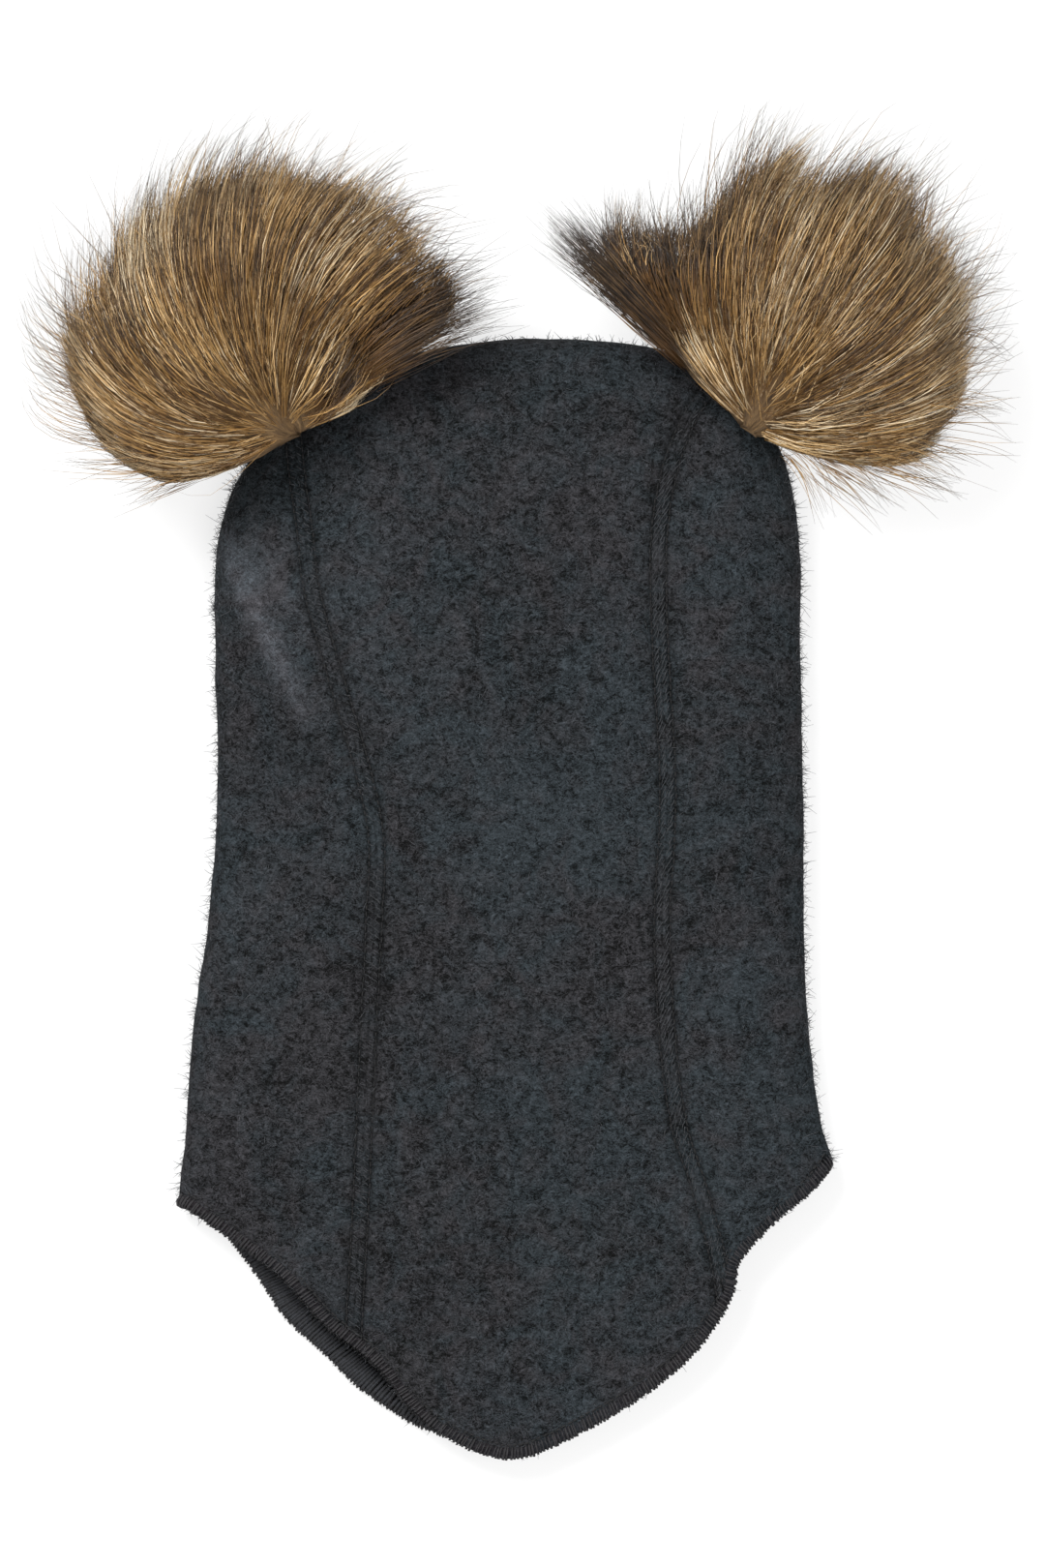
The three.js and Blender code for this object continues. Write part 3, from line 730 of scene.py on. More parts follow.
def centre_columns():
    """Lines along the hat between the seams: each gives its place across at any place along."""
    lines = [lambda y, off=off: seam_x(-1, y) + off for off in NEAR_SEAM]
    reach = NEAR_SEAM[-1]
    for share in np.linspace(0, 1, 34)[1:-1]:
        lines.append(lambda y, s=share: (seam_x(-1, y) + reach) * (1 - s) + (seam_x(1, y) - reach) * s)
    return lines + [lambda y, off=off: seam_x(1, y) - off for off in NEAR_SEAM[::-1]]


GAP_TO_FACE = FACE_EDGE_WIDTH - 1.6


def face_half_width(y):
    """Half the width of the cut-out round the face at a place along the hat."""
    tall = (y - FACE_Y) / (FACE_HALF_HEIGHT + GAP_TO_FACE)
    return (FACE_HALF_WIDTH + GAP_TO_FACE) * math.sqrt(max(1 - tall * tall, 0))


def face_end(line, sign):
    """Where a line along the hat meets the upper or lower edge of the cut-out round the face."""
    heights = FACE_Y + sign * np.linspace(0, FACE_HALF_HEIGHT + GAP_TO_FACE, 1500)
    inside = [abs(float(line(y))) < face_half_width(y) for y in heights]
    return float(heights[np.where(inside)[0].max()])


columns = []
for line in centre_columns():
    start = hem_start(line, back_hem_y)
    columns.append(spaced(over_crown(line, start, face_end(line, 1)), 150))
centre_points = np.stack(columns, axis=1)

columns = []
for line in centre_columns():
    start = hem_start(line, front_hem_y)
    y = np.linspace(start, face_end(line, -1), 40)
    columns.append(np.column_stack([line(y), y, lower_z(line(y), y)]))
neck_points = np.stack(columns, axis=1)


def side_points(side):
    """A side panel: sections across the hat from the upper seam round the fold to the lower seam."""
    top = meeting_y(lambda y: seam_x(side, y), 100, CROWN_TOP_Y)
    heights = np.concatenate([np.linspace(-150, top - 30, 110, endpoint=False),
                              top - 30 * (1 - np.linspace(0, 1, 60)) ** 2])
    rows = []
    for y in heights:
        edge = hood_sides(np.array(y))[0 if side < 0 else 1]
        seam = seam_x(side, np.array(y))
        beside = face_half_width(y)
        low = side * max(side * float(seam), beside)
        low = side * min(side * low, side * float(edge))
        t = np.linspace(0, 1, 260)
        across = edge - (edge - seam) * (1 - t) ** 3
        back = edge - (edge - low) * t * t
        upper = np.column_stack([across, np.full_like(t, y), upper_z(across, np.full_like(t, y))])
        lower = np.column_stack([back, np.full_like(t, y), lower_z(back, np.full_like(t, y))])
        section = np.vstack([upper[:-1], lower])
        length = run_length(section)
        near = np.minimum(NEAR_SEAM / max(length, 1e-6), NEAR_SEAM / NEAR_SEAM[-1] * 0.2)
        shares = np.concatenate([near, np.linspace(near[-1], 1 - near[-1], 48)[1:-1], 1 - near[::-1]])
        rows.append(spaced(section, 0, shares))
    table = np.stack(rows)
    columns = []
    for k in range(table.shape[1]):
        column = table[:, k]
        hem = np.where(column[:, 2] >= SPLIT_Z, back_hem_y(column[:, 0]), front_hem_y(column[:, 0]))
        above = column[:, 1] - hem
        first = np.where(above < 0)[0].max()
        share = -above[first] / (above[first + 1] - above[first])
        start = column[first] * (1 - share) + column[first + 1] * share
        columns.append(spaced(np.vstack([start, column[first + 1 :]]), 100))
    return np.stack(columns, axis=1)


panels = []
for name, points, turned, flat, area in (
    ("centre_panel_cloth", centre_points, False, (0.18, 0.47), 0.0506),
    ("neck_panel_cloth", neck_points, True, (0.15, 0.18), 0.0182),
    ("side_panel_left_cloth", side_points(-1), True, (0.17, 0.33), 0.0293),
    ("side_panel_right_cloth", side_points(1), False, (0.17, 0.33), 0.0275),
):
    node = name.removesuffix("_cloth")
    mesh = mapped_grid(name, points, turned)
    cloth_relief(mesh)
    mark_cloth(mesh)
    panel = piece_of(name, mesh, [node], fleece)
    panels.append(vertex_arrays(mesh))
    wall = panel.modifiers.new("thickness of the fleece", "SOLIDIFY")
    wall.thickness = (FLEECE - 0.3) * MM
    wall.offset = -1


# Edges: closed bands round the neck and the face, with overlock stitches wrapped round them
def inside_hood(x, y):
    left, right = hood_sides(y)
    return (x > left) & (x < right) & (y < CROWN_TOP_Y)


def hem_loop(inset, count):
    """Points round the neck at some distance from the edge, on the outer surface, and the normals there."""
    parts = []
    for table, layer in ((BACK_HEM, upper_z), (FRONT_HEM, lower_z)):
        line = hem_line(table, inset)
        dense = np.column_stack([np.interp(np.linspace(0, 1, 6000), np.linspace(0, 1, len(line)), line[:, k])
                                 for k in (0, 1)])
        dense = dense[inside_hood(dense[:, 0], dense[:, 1])]
        low, high = dense[0, 0], dense[-1, 0]
        turn = np.cos(np.linspace(np.pi, 0, 700))
        across = (low + high) / 2 + (high - low) / 2 * np.sign(turn) * np.abs(turn) ** 0.74
        along = np.interp(across, np.maximum.accumulate(dense[:, 0]), dense[:, 1])
        path = np.column_stack([across, along, layer(across, along)])
        parts.append(path if layer is upper_z else path[::-1])
    loop = np.vstack([parts[0], parts[1], parts[0][:1]])
    return spaced(loop, count + 1)[:-1]


def smoothed(values, times):
    for _ in range(times):
        values = (np.roll(values, 1, axis=0) + 2 * values + np.roll(values, -1, axis=0)) / 4
    return values


def unit(vectors):
    return vectors / (np.linalg.norm(vectors, axis=-1, keepdims=True) + 1e-12)


def band_frames(loop, deeper):
    """Unit directions along a loop, into the cloth, and out of its surface."""
    ahead = unit(smoothed(np.roll(loop, -1, axis=0) - np.roll(loop, 1, axis=0), 3))
    nearest = np.array([deeper[np.argmin(np.sum((deeper - p) ** 2, axis=1))] for p in loop])
    inward = nearest - loop
    inward = unit(smoothed(inward - np.sum(inward * ahead, axis=1)[:, None] * ahead, 4))
    return ahead, inward, unit(np.cross(inward, ahead)) * -1


def profile(turn, wide, tall):
    """A rounded rectangle, as shares into the cloth and out of its surface."""
    c, s = np.cos(turn), np.sin(turn)
    return wide * np.sign(c) * np.abs(c) ** 0.66, tall * np.sign(s) * np.abs(s) ** 0.66


BAND_SIDES = 10
STITCH_RISE = FLEECE / 2 + EDGE_PROUD - 0.2


def make_band(name, node, loop, frames, width):
    """A closed band round a loop. Returns the places and normals of its points."""
    _, inward, out = frames
    turns = np.linspace(0, 2 * np.pi, BAND_SIDES + 1)
    across, up = profile(turns, width / 2 - 0.15, STITCH_RISE)
    middle = loop - out * FLEECE / 2
    rows = middle[None] + across[:, None, None] * inward[None] + up[:, None, None] * out[None]
    rows[-1] = rows[0]
    rows = np.concatenate([rows, rows[:, :1]], axis=1)
    rows[..., 2] = np.maximum(rows[..., 2], 0.05)
    mesh = mapped_grid(name, rows)
    places, normals = vertex_arrays(mesh)
    places += normals * (0.22 * rough(places, 2.2, 5) + 0.1 * rough(places, 0.9, 6))[:, None]
    mesh.vertices.foreach_set("co", (places * MM).ravel())
    piece_of(name, mesh, [node], edging)
    return vertex_arrays(mesh)


def make_overlock(name, node, loop, frames, width, pitch, seed):
    """Stitches side by side, each wrapped from the needle line over the edge to the back of the cloth."""
    _, inward, out = frames
    dice = np.random.default_rng(seed)
    length = run_length(loop, closed=True)
    count = int(length / pitch)
    at = ((np.arange(count) + dice.uniform(-0.28, 0.28, count)) / count * len(loop)) % len(loop)
    turns = np.radians(np.linspace(38, 322, 8))
    across, up = profile(turns, width / 2 + 0.3, STITCH_RISE)
    lean = np.cos(turns) * 0.35
    index = (at[:, None] + lean[None] / length * len(loop)) % len(loop)
    here = np.round(index).astype(int) % len(loop)
    share = (index - np.floor(index))[..., None]
    low = np.floor(index).astype(int) % len(loop)
    centre = loop[low] * (1 - share) + loop[(low + 1) % len(loop)] * share
    grow = dice.uniform(0.86, 1.08, count)[:, None, None]
    paths = centre - out[here] * FLEECE / 2
    paths = paths + across[None, :, None] * inward[here] * grow + up[None, :, None] * out[here] * grow
    paths[..., 2] = np.maximum(paths[..., 2], 0.2)
    radii = dice.uniform(0.4, 0.54, count)[:, None] * np.ones((1, 8))
    radii[:, [0, -1]] *= 0.5
    strands(name, "overlock", [node], edge_thread, paths, radii, dice.uniform(0, 1, count))


def needle_line(name, node, loop, frames, far, pitch, seed):
    """Short straight stitches in a row beside a band."""
    _, inward, out = frames
    dice = np.random.default_rng(seed)
    count = int(run_length(loop, closed=True) / pitch)
    steps = np.linspace(-0.36, 0.36, 4)
    index = ((np.arange(count)[:, None] + steps[None]) / count * len(loop)) % len(loop)
    here = np.round(index).astype(int) % len(loop)
    sunk = np.array([-0.35, 0.12, 0.12, -0.35])
    aside = far + dice.normal(0, 0.12, (count, 1, 1))
    paths = loop[here] + inward[here] * aside + out[here] * sunk[None, :, None]
    paths[..., 2] = np.maximum(paths[..., 2], 0.1)
    radii, tones = np.full((count, 4), 0.27), dice.uniform(0, 1, count)
    strands(name, "overlock", [node], seam_thread, paths, radii, tones, sides=4)


neck_loop = hem_loop(HEM_WIDTH / 2, 640)
neck_frames = band_frames(neck_loop, hem_loop(HEM_WIDTH / 2 + 4, 2400))
hem_cloth = make_band("neck_hem_band", "neck_hem", neck_loop, neck_frames, HEM_WIDTH)
make_overlock("neck_hem_stitches", "neck_hem", neck_loop, neck_frames, HEM_WIDTH, 1.2, 11)
needle_line("neck_hem_needle_line", "neck_hem", neck_loop, neck_frames, HEM_WIDTH / 2 + 0.5, 2.3, 12)


def inner_loops(name, node, seed):
    """The overlock's inner side on the front of the neck, which sticks out below the back hem."""
    dice = np.random.default_rng(seed)
    edge, deep = hem_line(FRONT_HEM, 0.5), hem_line(FRONT_HEM, 8.5)
    count = int(run_length(edge) / 2.1)
    at = (np.arange(count) + dice.uniform(-0.2, 0.2, count)) / count * (len(edge) - 1)
    ends = [np.column_stack([np.interp(at + slant, np.arange(len(line)), line[:, k]) for k in (0, 1)])
            for line, slant in ((edge, 0), (deep, 1.2))]
    t = np.linspace(0, 1, 6)[None, :, None]
    flat = ends[0][:, None] * (1 - t) + ends[1][:, None] * t
    flat = flat[inside_hood(flat[:, 0, 0], flat[:, 0, 1]) & (flat[:, 0, 0] < 0.2 * HALF_WIDTH)]
    lift = FLEECE + EDGE_PROUD + 0.15 + 0.5 * np.sin(t[..., 0] * np.pi)
    paths = np.concatenate([flat, (lower_z(flat[..., 0], flat[..., 1]) + lift)[..., None]], axis=-1)
    radii = dice.uniform(0.56, 0.72, (len(paths), 1)) * np.array([[0.6, 1, 1, 0.9, 0.7, 0.4]])
    strands(name, "overlock", [node], loop_thread, paths, radii, dice.uniform(0, 1, len(paths)), sides=4)


inner_loops("neck_hem_inner_loops", "neck_hem", 15)


def face_loop(count):
    turn = np.linspace(0, 2 * np.pi, count, endpoint=False)
    grown = FACE_EDGE_WIDTH / 2
    across = (FACE_HALF_WIDTH + grown) * np.cos(turn)
    along = FACE_Y + (FACE_HALF_HEIGHT + grown) * np.sin(turn)
    loop = np.column_stack([across, along, lower_z(across, along)])
    ahead = unit(np.roll(loop, -1, axis=0) - np.roll(loop, 1, axis=0))
    out = np.tile([0.0, 0.0, -1.0], (count, 1))
    return loop, (ahead, unit(np.cross(out, ahead)), out)


face_ring, face_frames = face_loop(420)
make_band("face_edge_band", "face_edge", face_ring, face_frames, FACE_EDGE_WIDTH)
make_overlock("face_edge_stitches", "face_edge", face_ring, face_frames, FACE_EDGE_WIDTH, 1.35, 13)
needle_line("face_edge_needle_line", "face_edge", face_ring, face_frames, FACE_EDGE_WIDTH / 2 + 0.5, 2.3, 14)


# The two long seams: rows of dashes with cross threads between them
DASH_PITCH = 2.4


def seam_line(side, off):
    """A line beside a seam from the back hem over the crown to the face opening."""
    line = lambda y: seam_x(side, y) + off
    start = hem_start(line, back_hem_y) + 1.2
    return over_crown(line, start, FACE_Y + FACE_HALF_HEIGHT * 0.35 + 5)


def seam_stitches(side, name):
    dice = np.random.default_rng(20 + side)
    nodes = ["centre_panel", "side_panel_left" if side < 0 else "side_panel_right"]
    rows = []
    for off in (-SEAM_HALF_BAND, SEAM_HALF_BAND):
        path = seam_line(side, off)
        count = int(run_length(path) / DASH_PITCH)
        ends = (np.arange(count)[:, None] + np.linspace(-0.34, 0.34, 4)[None] + 0.5) / count
        ends += dice.normal(0, 0.03, (count, 1)) / count
        dashes = spaced(path, 0, ends.ravel()).reshape(count, 4, 3)
        dashes[..., 2] += np.array([-0.75, -0.22, -0.22, -0.75])
        dashes[..., 0] += dice.normal(0, 0.1, (count, 1))
        rows.append(dashes)
    paths = np.concatenate(rows)
    paths[..., 2] = np.maximum(paths[..., 2], 0.1)
    tones = dice.uniform(0, 1, len(paths))
    radii = dice.uniform(0.26, 0.34, (len(paths), 1)) * np.ones((1, 4))
    strands(f"{name}_rows", "fleece", nodes, seam_thread, paths, radii, tones)
    left, right = rows
    count = min(len(left), len(right))
    step = np.linspace(0, 1, 4)[None, :, None]
    flecks = []
    for near, away in ((left[:count, 1], right[:count, 2]), (right[:count, 1], left[:count, 2])):
        far = dice.uniform(0.26, 0.44, (count, 1, 1))
        flecks.append(near[:, None] + (away - near)[:, None] * (0.1 + far * step))
    flecks = np.concatenate(flecks)
    flecks[..., 2] += 0.24 * np.sin(step[..., 0] * np.pi) + 0.06
    flecks += dice.normal(0, 0.14, (len(flecks), 4, 3))
    flecks[..., 2] = np.maximum(flecks[..., 2], 0.1)
    radii = dice.uniform(0.1, 0.2, (len(flecks), 4))
    tones = dice.uniform(0, 1, len(flecks))
    strands(f"{name}_cross_threads", "fleece", nodes, cross_thread, flecks, radii, tones)


seam_stitches(-1, "left_seam")
seam_stitches(1, "right_seam")


# Short fibres that stand up from the pile
def make_nap(name, slot, nodes, cloth, count, seed, reach=3.0):
    dice = np.random.default_rng(seed)
    places, normals = [np.concatenate(arrays) for arrays in zip(*cloth)]
    weight = np.where(np.abs(normals[:, 2]) < 0.6, 14.0, 1.0) * (places[:, 2] > 1.0)
    pick = dice.choice(len(places), count, p=weight / weight.sum())
    roots = places[pick] + dice.normal(0, 0.7, (count, 3))
    up = normals[pick]
    roots -= up * (np.sum((roots - places[pick]) * up, axis=1) + 0.2)[:, None]
    ahead = unit(up * dice.uniform(0.1, 0.9, (count, 1)) + dice.normal(0, 0.65, (count, 3)))
    curl = dice.normal(0, 0.75, (count, 3))
    t = np.linspace(0, 1, 3)[None, :, None]
    length = dice.uniform(1.0, reach, (count, 1, 1))
    paths = roots[:, None] + length * (ahead[:, None] * t + curl[:, None] * t * t * 0.6)
    paths[..., 2] = np.maximum(paths[..., 2], 0.1)
    radii = np.tile([0.11, 0.09, 0.04], (count, 1))
    strands(name, slot, nodes, nap_fibre, paths, radii, dice.uniform(0, 1, count))


make_nap("fleece_nap", "fleece", ["centre_panel", "side_panel_left", "side_panel_right"], panels, 7600, 31)
make_nap("hem_nap", "overlock", ["neck_hem"], [hem_cloth], 1200, 32, 1.9)


# Pompoms
class Ball:
    """A fur ball's plan outline and the flow of its hairs, round the place where it is sewn on."""

    def __init__(self, shape):
        self.outline = shape["outline"]
        self.patches = shape["patches"]
        self.lean = math.radians(shape["lean"])
        measured_from = np.array([HALF_WIDTH * shape["base"][0], CORNER_Y + BODY_LENGTH * shape["base"][1]])
        toward = np.array([math.cos(self.lean), math.sin(self.lean)])
        self.centre = measured_from + CENTRE_FROM_BASE * toward
        self.base = measured_from + np.array(shape["gathered"])
        headings = np.linspace(self.outline[0][0], self.outline[-1][0], 240)
        far = FUR_LENGTH * follow(self.outline, 1, headings)
        turn = np.radians(headings)
        edge = measured_from + far[:, None] * np.column_stack([np.cos(turn), np.sin(turn)])
        self.headings, self.reaches, _ = self.polar(*edge.T)
        self.curls = follow(self.outline, 2, headings)
        self.limits = self.headings[0], self.headings[-1]
        rim = np.vstack([edge, self.base - 12 * toward])
        off = rim - self.centre
        angle = self.from_lean(*off.T)
        order = np.argsort(angle)
        self.rim_angle, self.rim_reach = angle[order], np.linalg.norm(off, axis=1)[order]

    def from_lean(self, dx, dy):
        """The direction of an offset, as an angle from the lean."""
        return (np.arctan2(dy, dx) - self.lean + np.pi) % (2 * np.pi) - np.pi

    def rim(self, angle):
        """How far the outline is from the ball's centre at an angle from the lean."""
        return np.interp(angle, self.rim_angle, self.rim_reach, period=2 * np.pi)

    def placed(self, points):
        """Points given in balls' own units, from the base along the lean, aside and up, in place."""
        ahead, aside, up = points[..., 0], points[..., 1], points[..., 2]
        angle = np.arctan2(aside, ahead)
        far = np.hypot(ahead, aside) * self.rim(angle)
        x = self.centre[0] + far * np.cos(angle + self.lean)
        y = self.centre[1] + far * np.sin(angle + self.lean)
        drop = (BALL_CENTRE_Z - BASE_Z) * np.clip((1 - ahead) / 2, 0, 1) ** 3
        return np.stack([x, y, BALL_CENTRE_Z + BALL_HALF_HEIGHT * up - drop], axis=-1)

    def polar(self, x, y):
        """Heading from the sewn base in degrees, about the lean, distance, and how far behind it is."""
        dx, dy = x - self.base[0], y - self.base[1]
        turn = self.from_lean(dx, dy)
        behind = np.clip((np.abs(np.degrees(turn)) - 88) / 45, 0, 1)
        return np.degrees(turn + self.lean), np.hypot(dx, dy), behind

    def reach(self, heading, behind):
        """How far the fur goes from the base at any heading."""
        return np.interp(heading, self.headings, self.reaches) * (1 - 0.72 * behind)

    def swirled(self, points):
        """The hairs' curl: the nearer to the base, the further round."""
        heading, far, behind = self.polar(points[..., 0], points[..., 1])
        share = np.clip(far / self.reach(heading, 0 * behind), 0, 1.35)
        curl = np.interp(heading, self.headings, self.curls)
        turn = heading + curl * (1 - share ** 1.5) * (1 - behind)
        low, high = self.limits
        turn = np.where(turn > high, high + (turn - high) * 0.25, turn)
        turn = np.radians(np.where(turn < low, low + (turn - low) * 0.25, turn))
        moved = points.copy()
        moved[..., 0] = self.base[0] + far * np.cos(turn)
        moved[..., 1] = self.base[1] + far * np.sin(turn)
        return moved

    def patch_tone(self, x, y):
        heading, far, _ = self.polar(x, y)
        lighter = 0
        for at, reach, wide, deep, amount in self.patches:
            away = ((heading - at) / wide) ** 2 + ((far / FUR_LENGTH - reach) / deep) ** 2
            lighter = lighter + amount * np.exp(-away)
        return lighter


def fuller(own, size, most):
    """Places on the ball's ground at a size, which is larger in plan at the sides and near the base."""
    side = np.clip(0.75 * (1 - own[..., 0]), 0, 1)
    plan = size + (most - size) * side
    return np.stack([own[..., 0] * plan, own[..., 1] * plan, own[..., 2] * size], axis=-1)


# Just below the crown's top, where the upper layer ends
CROWN_END_Y = 220.5


def clear_of_hood(points, gap):
    """Points lifted off the floor and off the hood."""
    x, y = points[..., 0].ravel(), points[..., 1].ravel()
    left, right = hood_sides(y)
    near = np.minimum(x - left, right - x)
    on = (near > 0) & (y < CROWN_TOP_Y)
    under = np.where(on, upper_z(np.clip(x, left + 1e-3, right - 1e-3), np.minimum(y, CROWN_END_Y)), 0) + gap
    moved = points.copy()
    moved[..., 2] = np.maximum(points[..., 2], under.reshape(points.shape[:-1]))
    return moved


LOCKS = 110


def coat(
    ball, count, seed, *, root, length, wrap, lift, thick, clumps, pull, stray,
    light, dark, over, to, rings=6,
):
    """Hairs from the ball's ground that fan out from the sewn base and end about its outline."""
    dice = np.random.default_rng(seed)
    ahead = dice.uniform(-0.97, 1, count)
    round_it = dice.uniform(-np.pi, np.pi, count)
    ring = np.sqrt(1 - ahead * ahead)
    up = ring * np.cos(round_it)
    up = np.where((up < -0.5) & (dice.uniform(0, 1, count) < 0.6), -up, up)
    own = np.stack([ahead, ring * np.sin(round_it), up], axis=-1)
    roots = ball.placed(fuller(own, root * dice.uniform(0.94, 1.05, count), 0.95))
    _, far, behind = ball.polar(roots[:, 0], roots[:, 1])
    before = (behind < 0.12) & (far > 3.5)
    own, roots = own[before], roots[before]
    ahead, aside, up = own.T
    count = len(own)
    angle = np.arctan2(aside, ahead)
    out = np.hypot(ahead, aside) / ball.rim(angle)
    turn = angle + ball.lean
    normal = unit(np.stack([out * np.cos(turn), out * np.sin(turn), up / BALL_HALF_HEIGHT], axis=-1))
    heading, far, behind = ball.polar(roots[:, 0], roots[:, 1])
    toward = np.radians(heading + dice.normal(0, stray, count) * (1 + 3 * np.exp(-far / 14)))
    fan = np.stack([np.cos(toward), np.sin(toward), np.zeros(count)], axis=-1)
    facing = np.sum(fan * normal, axis=1)[:, None]
    rise = np.sin(np.radians(lift * dice.uniform(0.3, 1.6, count)))[:, None]
    start = unit((fan - normal * facing) * 0.8 + fan * 0.2 + normal * rise)
    leaders = dice.choice(count, clumps, replace=False)
    mine = leaders[np.argmax(own @ own[leaders].T + dice.normal(0, 0.0015, (count, clumps)), axis=1)]
    locks = leaders[:LOCKS]
    lock = locks[np.argmax(own @ own[locks].T + dice.normal(0, 0.004, (count, LOCKS)), axis=1)]
    vary = dice.normal(0, 1, (3, count))
    uneven = 0.9 * vary[0][lock] + 0.5 * vary[1][mine] + 0.5 * vary[2]
    end = ball.reach(heading, behind) * to * (1 + over * uneven)
    room = np.maximum(end - far, 6) / np.maximum(np.hypot(start[:, 0], start[:, 1]), 0.5)
    long = np.minimum(length * dice.uniform(0.7, 1.25, count), room)
    bend = (-normal * (1 - np.abs(facing)) * wrap + np.array([0, 0, -0.12])) * long[:, None] / 48
    t = np.linspace(0, 1, rings)
    ways = unit(start[:, None] + bend[:, None] * t[None, :, None])
    steps = (ways[:, 1:] + ways[:, :-1]) / 2 * (long / (rings - 1))[:, None, None]
    paths = np.concatenate([roots[:, None], roots[:, None] + np.cumsum(steps, axis=1)], axis=1)
    gather = (pull * dice.uniform(0.3, 1.2, count))[:, None, None] * (t ** 1.5)[None, :, None]
    paths = paths + (paths[mine] - paths) * np.clip(gather, 0, 0.95)
    paths = paths + (paths[lock] - paths) * 0.24 * t[None, :, None] ** 2
    wave = dice.normal(0, 0.7, (count, 1, 3))
    wave = wave * np.sin(t[None] * 5 + dice.uniform(0, 6, (count, 1)))[..., None]
    wave = wave * np.clip(far / 18, 0, 1)[:, None, None]
    placed = kept_close(clear_of_hood(ball.swirled(paths + wave * t[None, :, None]), 0.6))
    tone = light + 0.11 * vary[0][lock] + dice.normal(0, 0.13, count)[mine] + dice.normal(0, 0.1, count)
    middle = placed[:, rings // 2]
    taken = np.where(dice.uniform(0, 1, count)[mine] < 0.3, 0.35, 1.15)
    tone = tone + ball.patch_tone(middle[:, 0], middle[:, 1]) * taken
    darker = (dice.uniform(0, 1, count)[mine] < dark * 0.6) | (dice.uniform(0, 1, count) < dark * 0.5)
    tone = np.where(darker, tone * 0.3, tone)
    taper = 1 - 0.88 * t[None] ** 1.8
    radii = thick * dice.uniform(0.7, 1.25, count)[:, None] * taper * np.where(darker, 0.8, 1)[:, None]
    return placed, radii, tone


# Axis, which way along it, where hairs begin to be held back, and how far past that they can reach
LIMITS = ((0, -1, 146, 17), (0, 1, 155, 17), (1, 1, 284, 19), (2, 1, 70, 16))


def kept_close(paths):
    """Paths that leave the part's own box only softly, and by little."""
    for axis, sign, start, room in LIMITS:
        far = sign * paths[..., axis]
        paths[..., axis] = sign * np.where(far > start, start + room * np.tanh((far - start) / room), far)
    return paths


def wisps(ball, rows, seed, rings=6):
    """Longer hairs in loose bundles, which stand out of the ball's outline where the photo's do."""
    dice = np.random.default_rng(seed)
    t = np.linspace(0, 1, rings)[None, :, None]
    paths, tones = [], []
    for heading, reach, end_heading, end_reach, wide, count, tone in rows:
        spread = dice.normal(0, 1, (2, count, 1))
        ends = []
        for at, far, fan in ((heading, reach, 1.0), (end_heading, end_reach, 0.8)):
            turn = np.radians(at + wide * fan * (0.85 * spread[0] + 0.4 * dice.normal(0, 1, (count, 1))))
            distance = FUR_LENGTH * far * (1 + 0.07 * dice.normal(0, 1, (count, 1)))
            ends.append(ball.base + distance * np.hstack([np.cos(turn), np.sin(turn)]))
        start, end = ends
        off = start - ball.centre
        angle = np.arctan2(off[:, 1], off[:, 0]) - ball.lean
        dome = np.sqrt(np.clip(1 - (np.linalg.norm(off, axis=1) / ball.rim(angle)) ** 2, 0, 1))
        height = BALL_CENTRE_Z + BALL_HALF_HEIGHT * dome * dice.uniform(-0.6, 0.86, count) * 0.9
        low = height * dice.uniform(0.5, 0.9, count) + dice.uniform(0, 14, count)
        first, last = np.column_stack([start, height]), np.column_stack([end, low])
        bulge = (start - ball.base) / np.linalg.norm(start - ball.base, axis=1, keepdims=True)
        bulge = np.column_stack([bulge, np.full(count, 0.2)]) * np.linalg.norm(end - start, axis=1)[:, None]
        middle = first + bulge * dice.uniform(0.3, 0.6, (count, 1))
        bent = first[:, None] * (1 - t) ** 2 + middle[:, None] * 2 * t * (1 - t) + last[:, None] * t * t
        curl = dice.normal(0, 1.6, (count, 1, 3)) * np.sin(t * 3 + dice.uniform(0, 6, (count, 1, 1)))
        paths.append(bent + curl * t * t)
        tones.append(tone + dice.normal(0, 0.12, count))
    paths = kept_close(clear_of_hood(np.concatenate(paths), 0.5))
    taper = np.minimum(1 - 0.82 * t[0, :, 0] ** 1.6, 0.25 + 3 * t[0, :, 0])
    radii = 0.16 * dice.uniform(0.7, 1.3, (len(paths), 1)) * taper[None]
    return paths, radii, np.concatenate(tones)


CORE_SIZE = 0.74


def make_core(ball, side, node):
    ground = bmesh.new()
    ground.loops.layers.uv.new("ball")
    bmesh.ops.create_uvsphere(ground, u_segments=72, v_segments=40, radius=CORE_SIZE, calc_uvs=True)
    mesh = bpy.data.meshes.new(f"pompom_ball_{side}")
    ground.to_mesh(mesh)
    ground.free()
    places, normals = vertex_arrays(mesh)
    places = places * MM
    own = np.stack([places[:, 2], places[:, 0], -places[:, 1]], axis=-1)
    own *= (1 + 0.035 * np.sin(np.arctan2(own[:, 1], own[:, 2]) * 23))[:, None] / CORE_SIZE
    placed = clear_of_hood(ball.swirled(ball.placed(fuller(own, 0.72, 0.82))), 0.5)
    mesh.vertices.foreach_set("co", (placed * MM).ravel())
    mesh.update()
    core = piece_of(f"pompom_ball_{side}", mesh, [node], fur_ground)


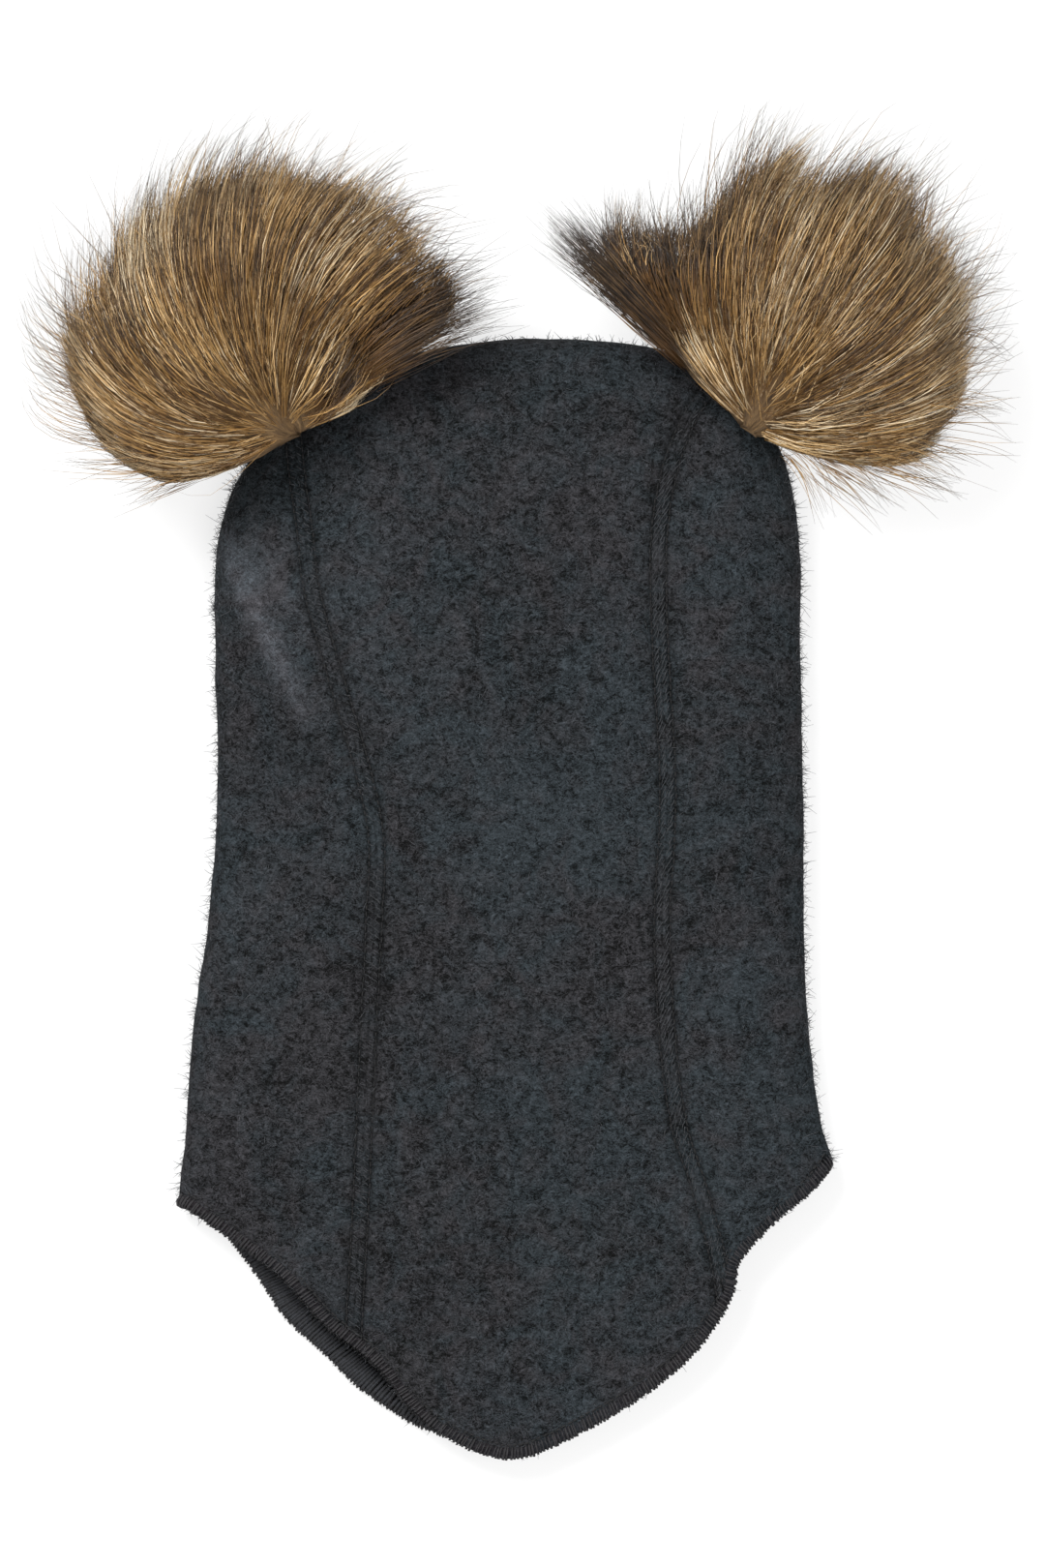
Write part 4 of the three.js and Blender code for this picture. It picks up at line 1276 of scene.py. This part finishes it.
# Each layer: hairs, how far out they are rooted, length, how far they follow the ball round, lift in
# degrees, radius, tufts and the pull to them, scatter in degrees, tone, share of dark hairs, how unevenly
# they end, how near the outline they end, and points along each hair.
LAYERS = {
    "under_hair": dict(count=4600, root=0.78, length=38, wrap=1.0, lift=7, thick=0.22, clumps=420, pull=0.35,
                       stray=4, light=0.7, dark=0.2, over=0.05, to=0.98, rings=4),
    "guard_hair": dict(count=5600, root=0.81, length=42, wrap=0.95, lift=8, thick=0.15, clumps=520, pull=0.5,
                       stray=5, light=0.63, dark=0.54, over=0.08, to=1.01, rings=5),
    "long_hair": dict(count=1200, root=0.84, length=46, wrap=0.8, lift=12, thick=0.11, clumps=500, pull=0.45,
                      stray=9, light=0.34, dark=0.7, over=0.11, to=1.06),
}
for number, (side, shape) in enumerate(POMPOMS.items()):
    ball = Ball(shape)
    make_core(ball, side, shape["node"])
    coats = [(label, coat(ball, seed=100 * (number + 1) + k, **settings))
             for k, (label, settings) in enumerate(LAYERS.items())]
    coats.append(("wisps", wisps(ball, shape["wisps"], 300 + number)))
    for label, hairs in coats:
        hair = under_hair if label == "under_hair" else guard_hair
        strands(f"pompom_{label}_{side}", "fur", [shape["node"]], hair, *hairs)


# Camera, floor and light
def area_light(name, place, aim, size, power):
    lamp = bpy.data.lights.new(name, "AREA")
    lamp.shape = "DISK"
    lamp.size = size
    lamp.energy = power
    stand = bpy.data.objects.new(name, lamp)
    bpy.context.collection.objects.link(stand)
    stand.location = place
    stand.rotation_euler = (Vector(aim) - Vector(place)).to_track_quat("-Z", "Y").to_euler()


# What the photo's frame shows: its height and its middle on the floor, in metres
FRAME_HEIGHT = 0.5184
FRAME_MIDDLE = (0.00448, 0.0736)
CAMERA_DISTANCE = 6.0
camera = bpy.data.objects.new("camera", bpy.data.cameras.new("camera"))
bpy.context.collection.objects.link(camera)
camera.data.sensor_width = 36
camera.data.lens = 36 * CAMERA_DISTANCE / FRAME_HEIGHT
camera.location = (*FRAME_MIDDLE, CAMERA_DISTANCE + 0.012)
camera.data.clip_end = 30
bpy.context.scene.camera = camera

ground = bmesh.new()
bmesh.ops.create_grid(ground, x_segments=2, y_segments=2, size=4)
bmesh.ops.translate(ground, verts=ground.verts, vec=(0, 0, -0.0003))
floor_mesh = bpy.data.meshes.new("floor")
ground.to_mesh(floor_mesh)
ground.free()
floor = bpy.data.objects.new("floor", floor_mesh)
bpy.context.collection.objects.link(floor)
floor_material, _, floor_shader = new_material("pale floor")
floor_shader.inputs["Base Color"].default_value = (0.2, 0.2, 0.2, 1)
floor_shader.inputs["Emission Color"].default_value = (1, 1, 1, 1)
floor_shader.inputs["Emission Strength"].default_value = 0.72
floor_shader.inputs["Roughness"].default_value = 0.9
floor_mesh.materials.append(floor_material)

area_light("key", (-0.9, 1.3, 1.9), (0, 0.05, 0), 1.1, 70)
area_light("fill", (0.9, -0.6, 2.4), (0, 0.05, 0), 1.8, 30)
world = bpy.data.worlds.new("studio")
bpy.context.scene.world = world
world.use_nodes = True
world.node_tree.nodes["Background"].inputs["Color"].default_value = (1, 1, 1, 1)
world.node_tree.nodes["Background"].inputs["Strength"].default_value = 0.95
bpy.context.scene.view_settings.view_transform = "Standard"
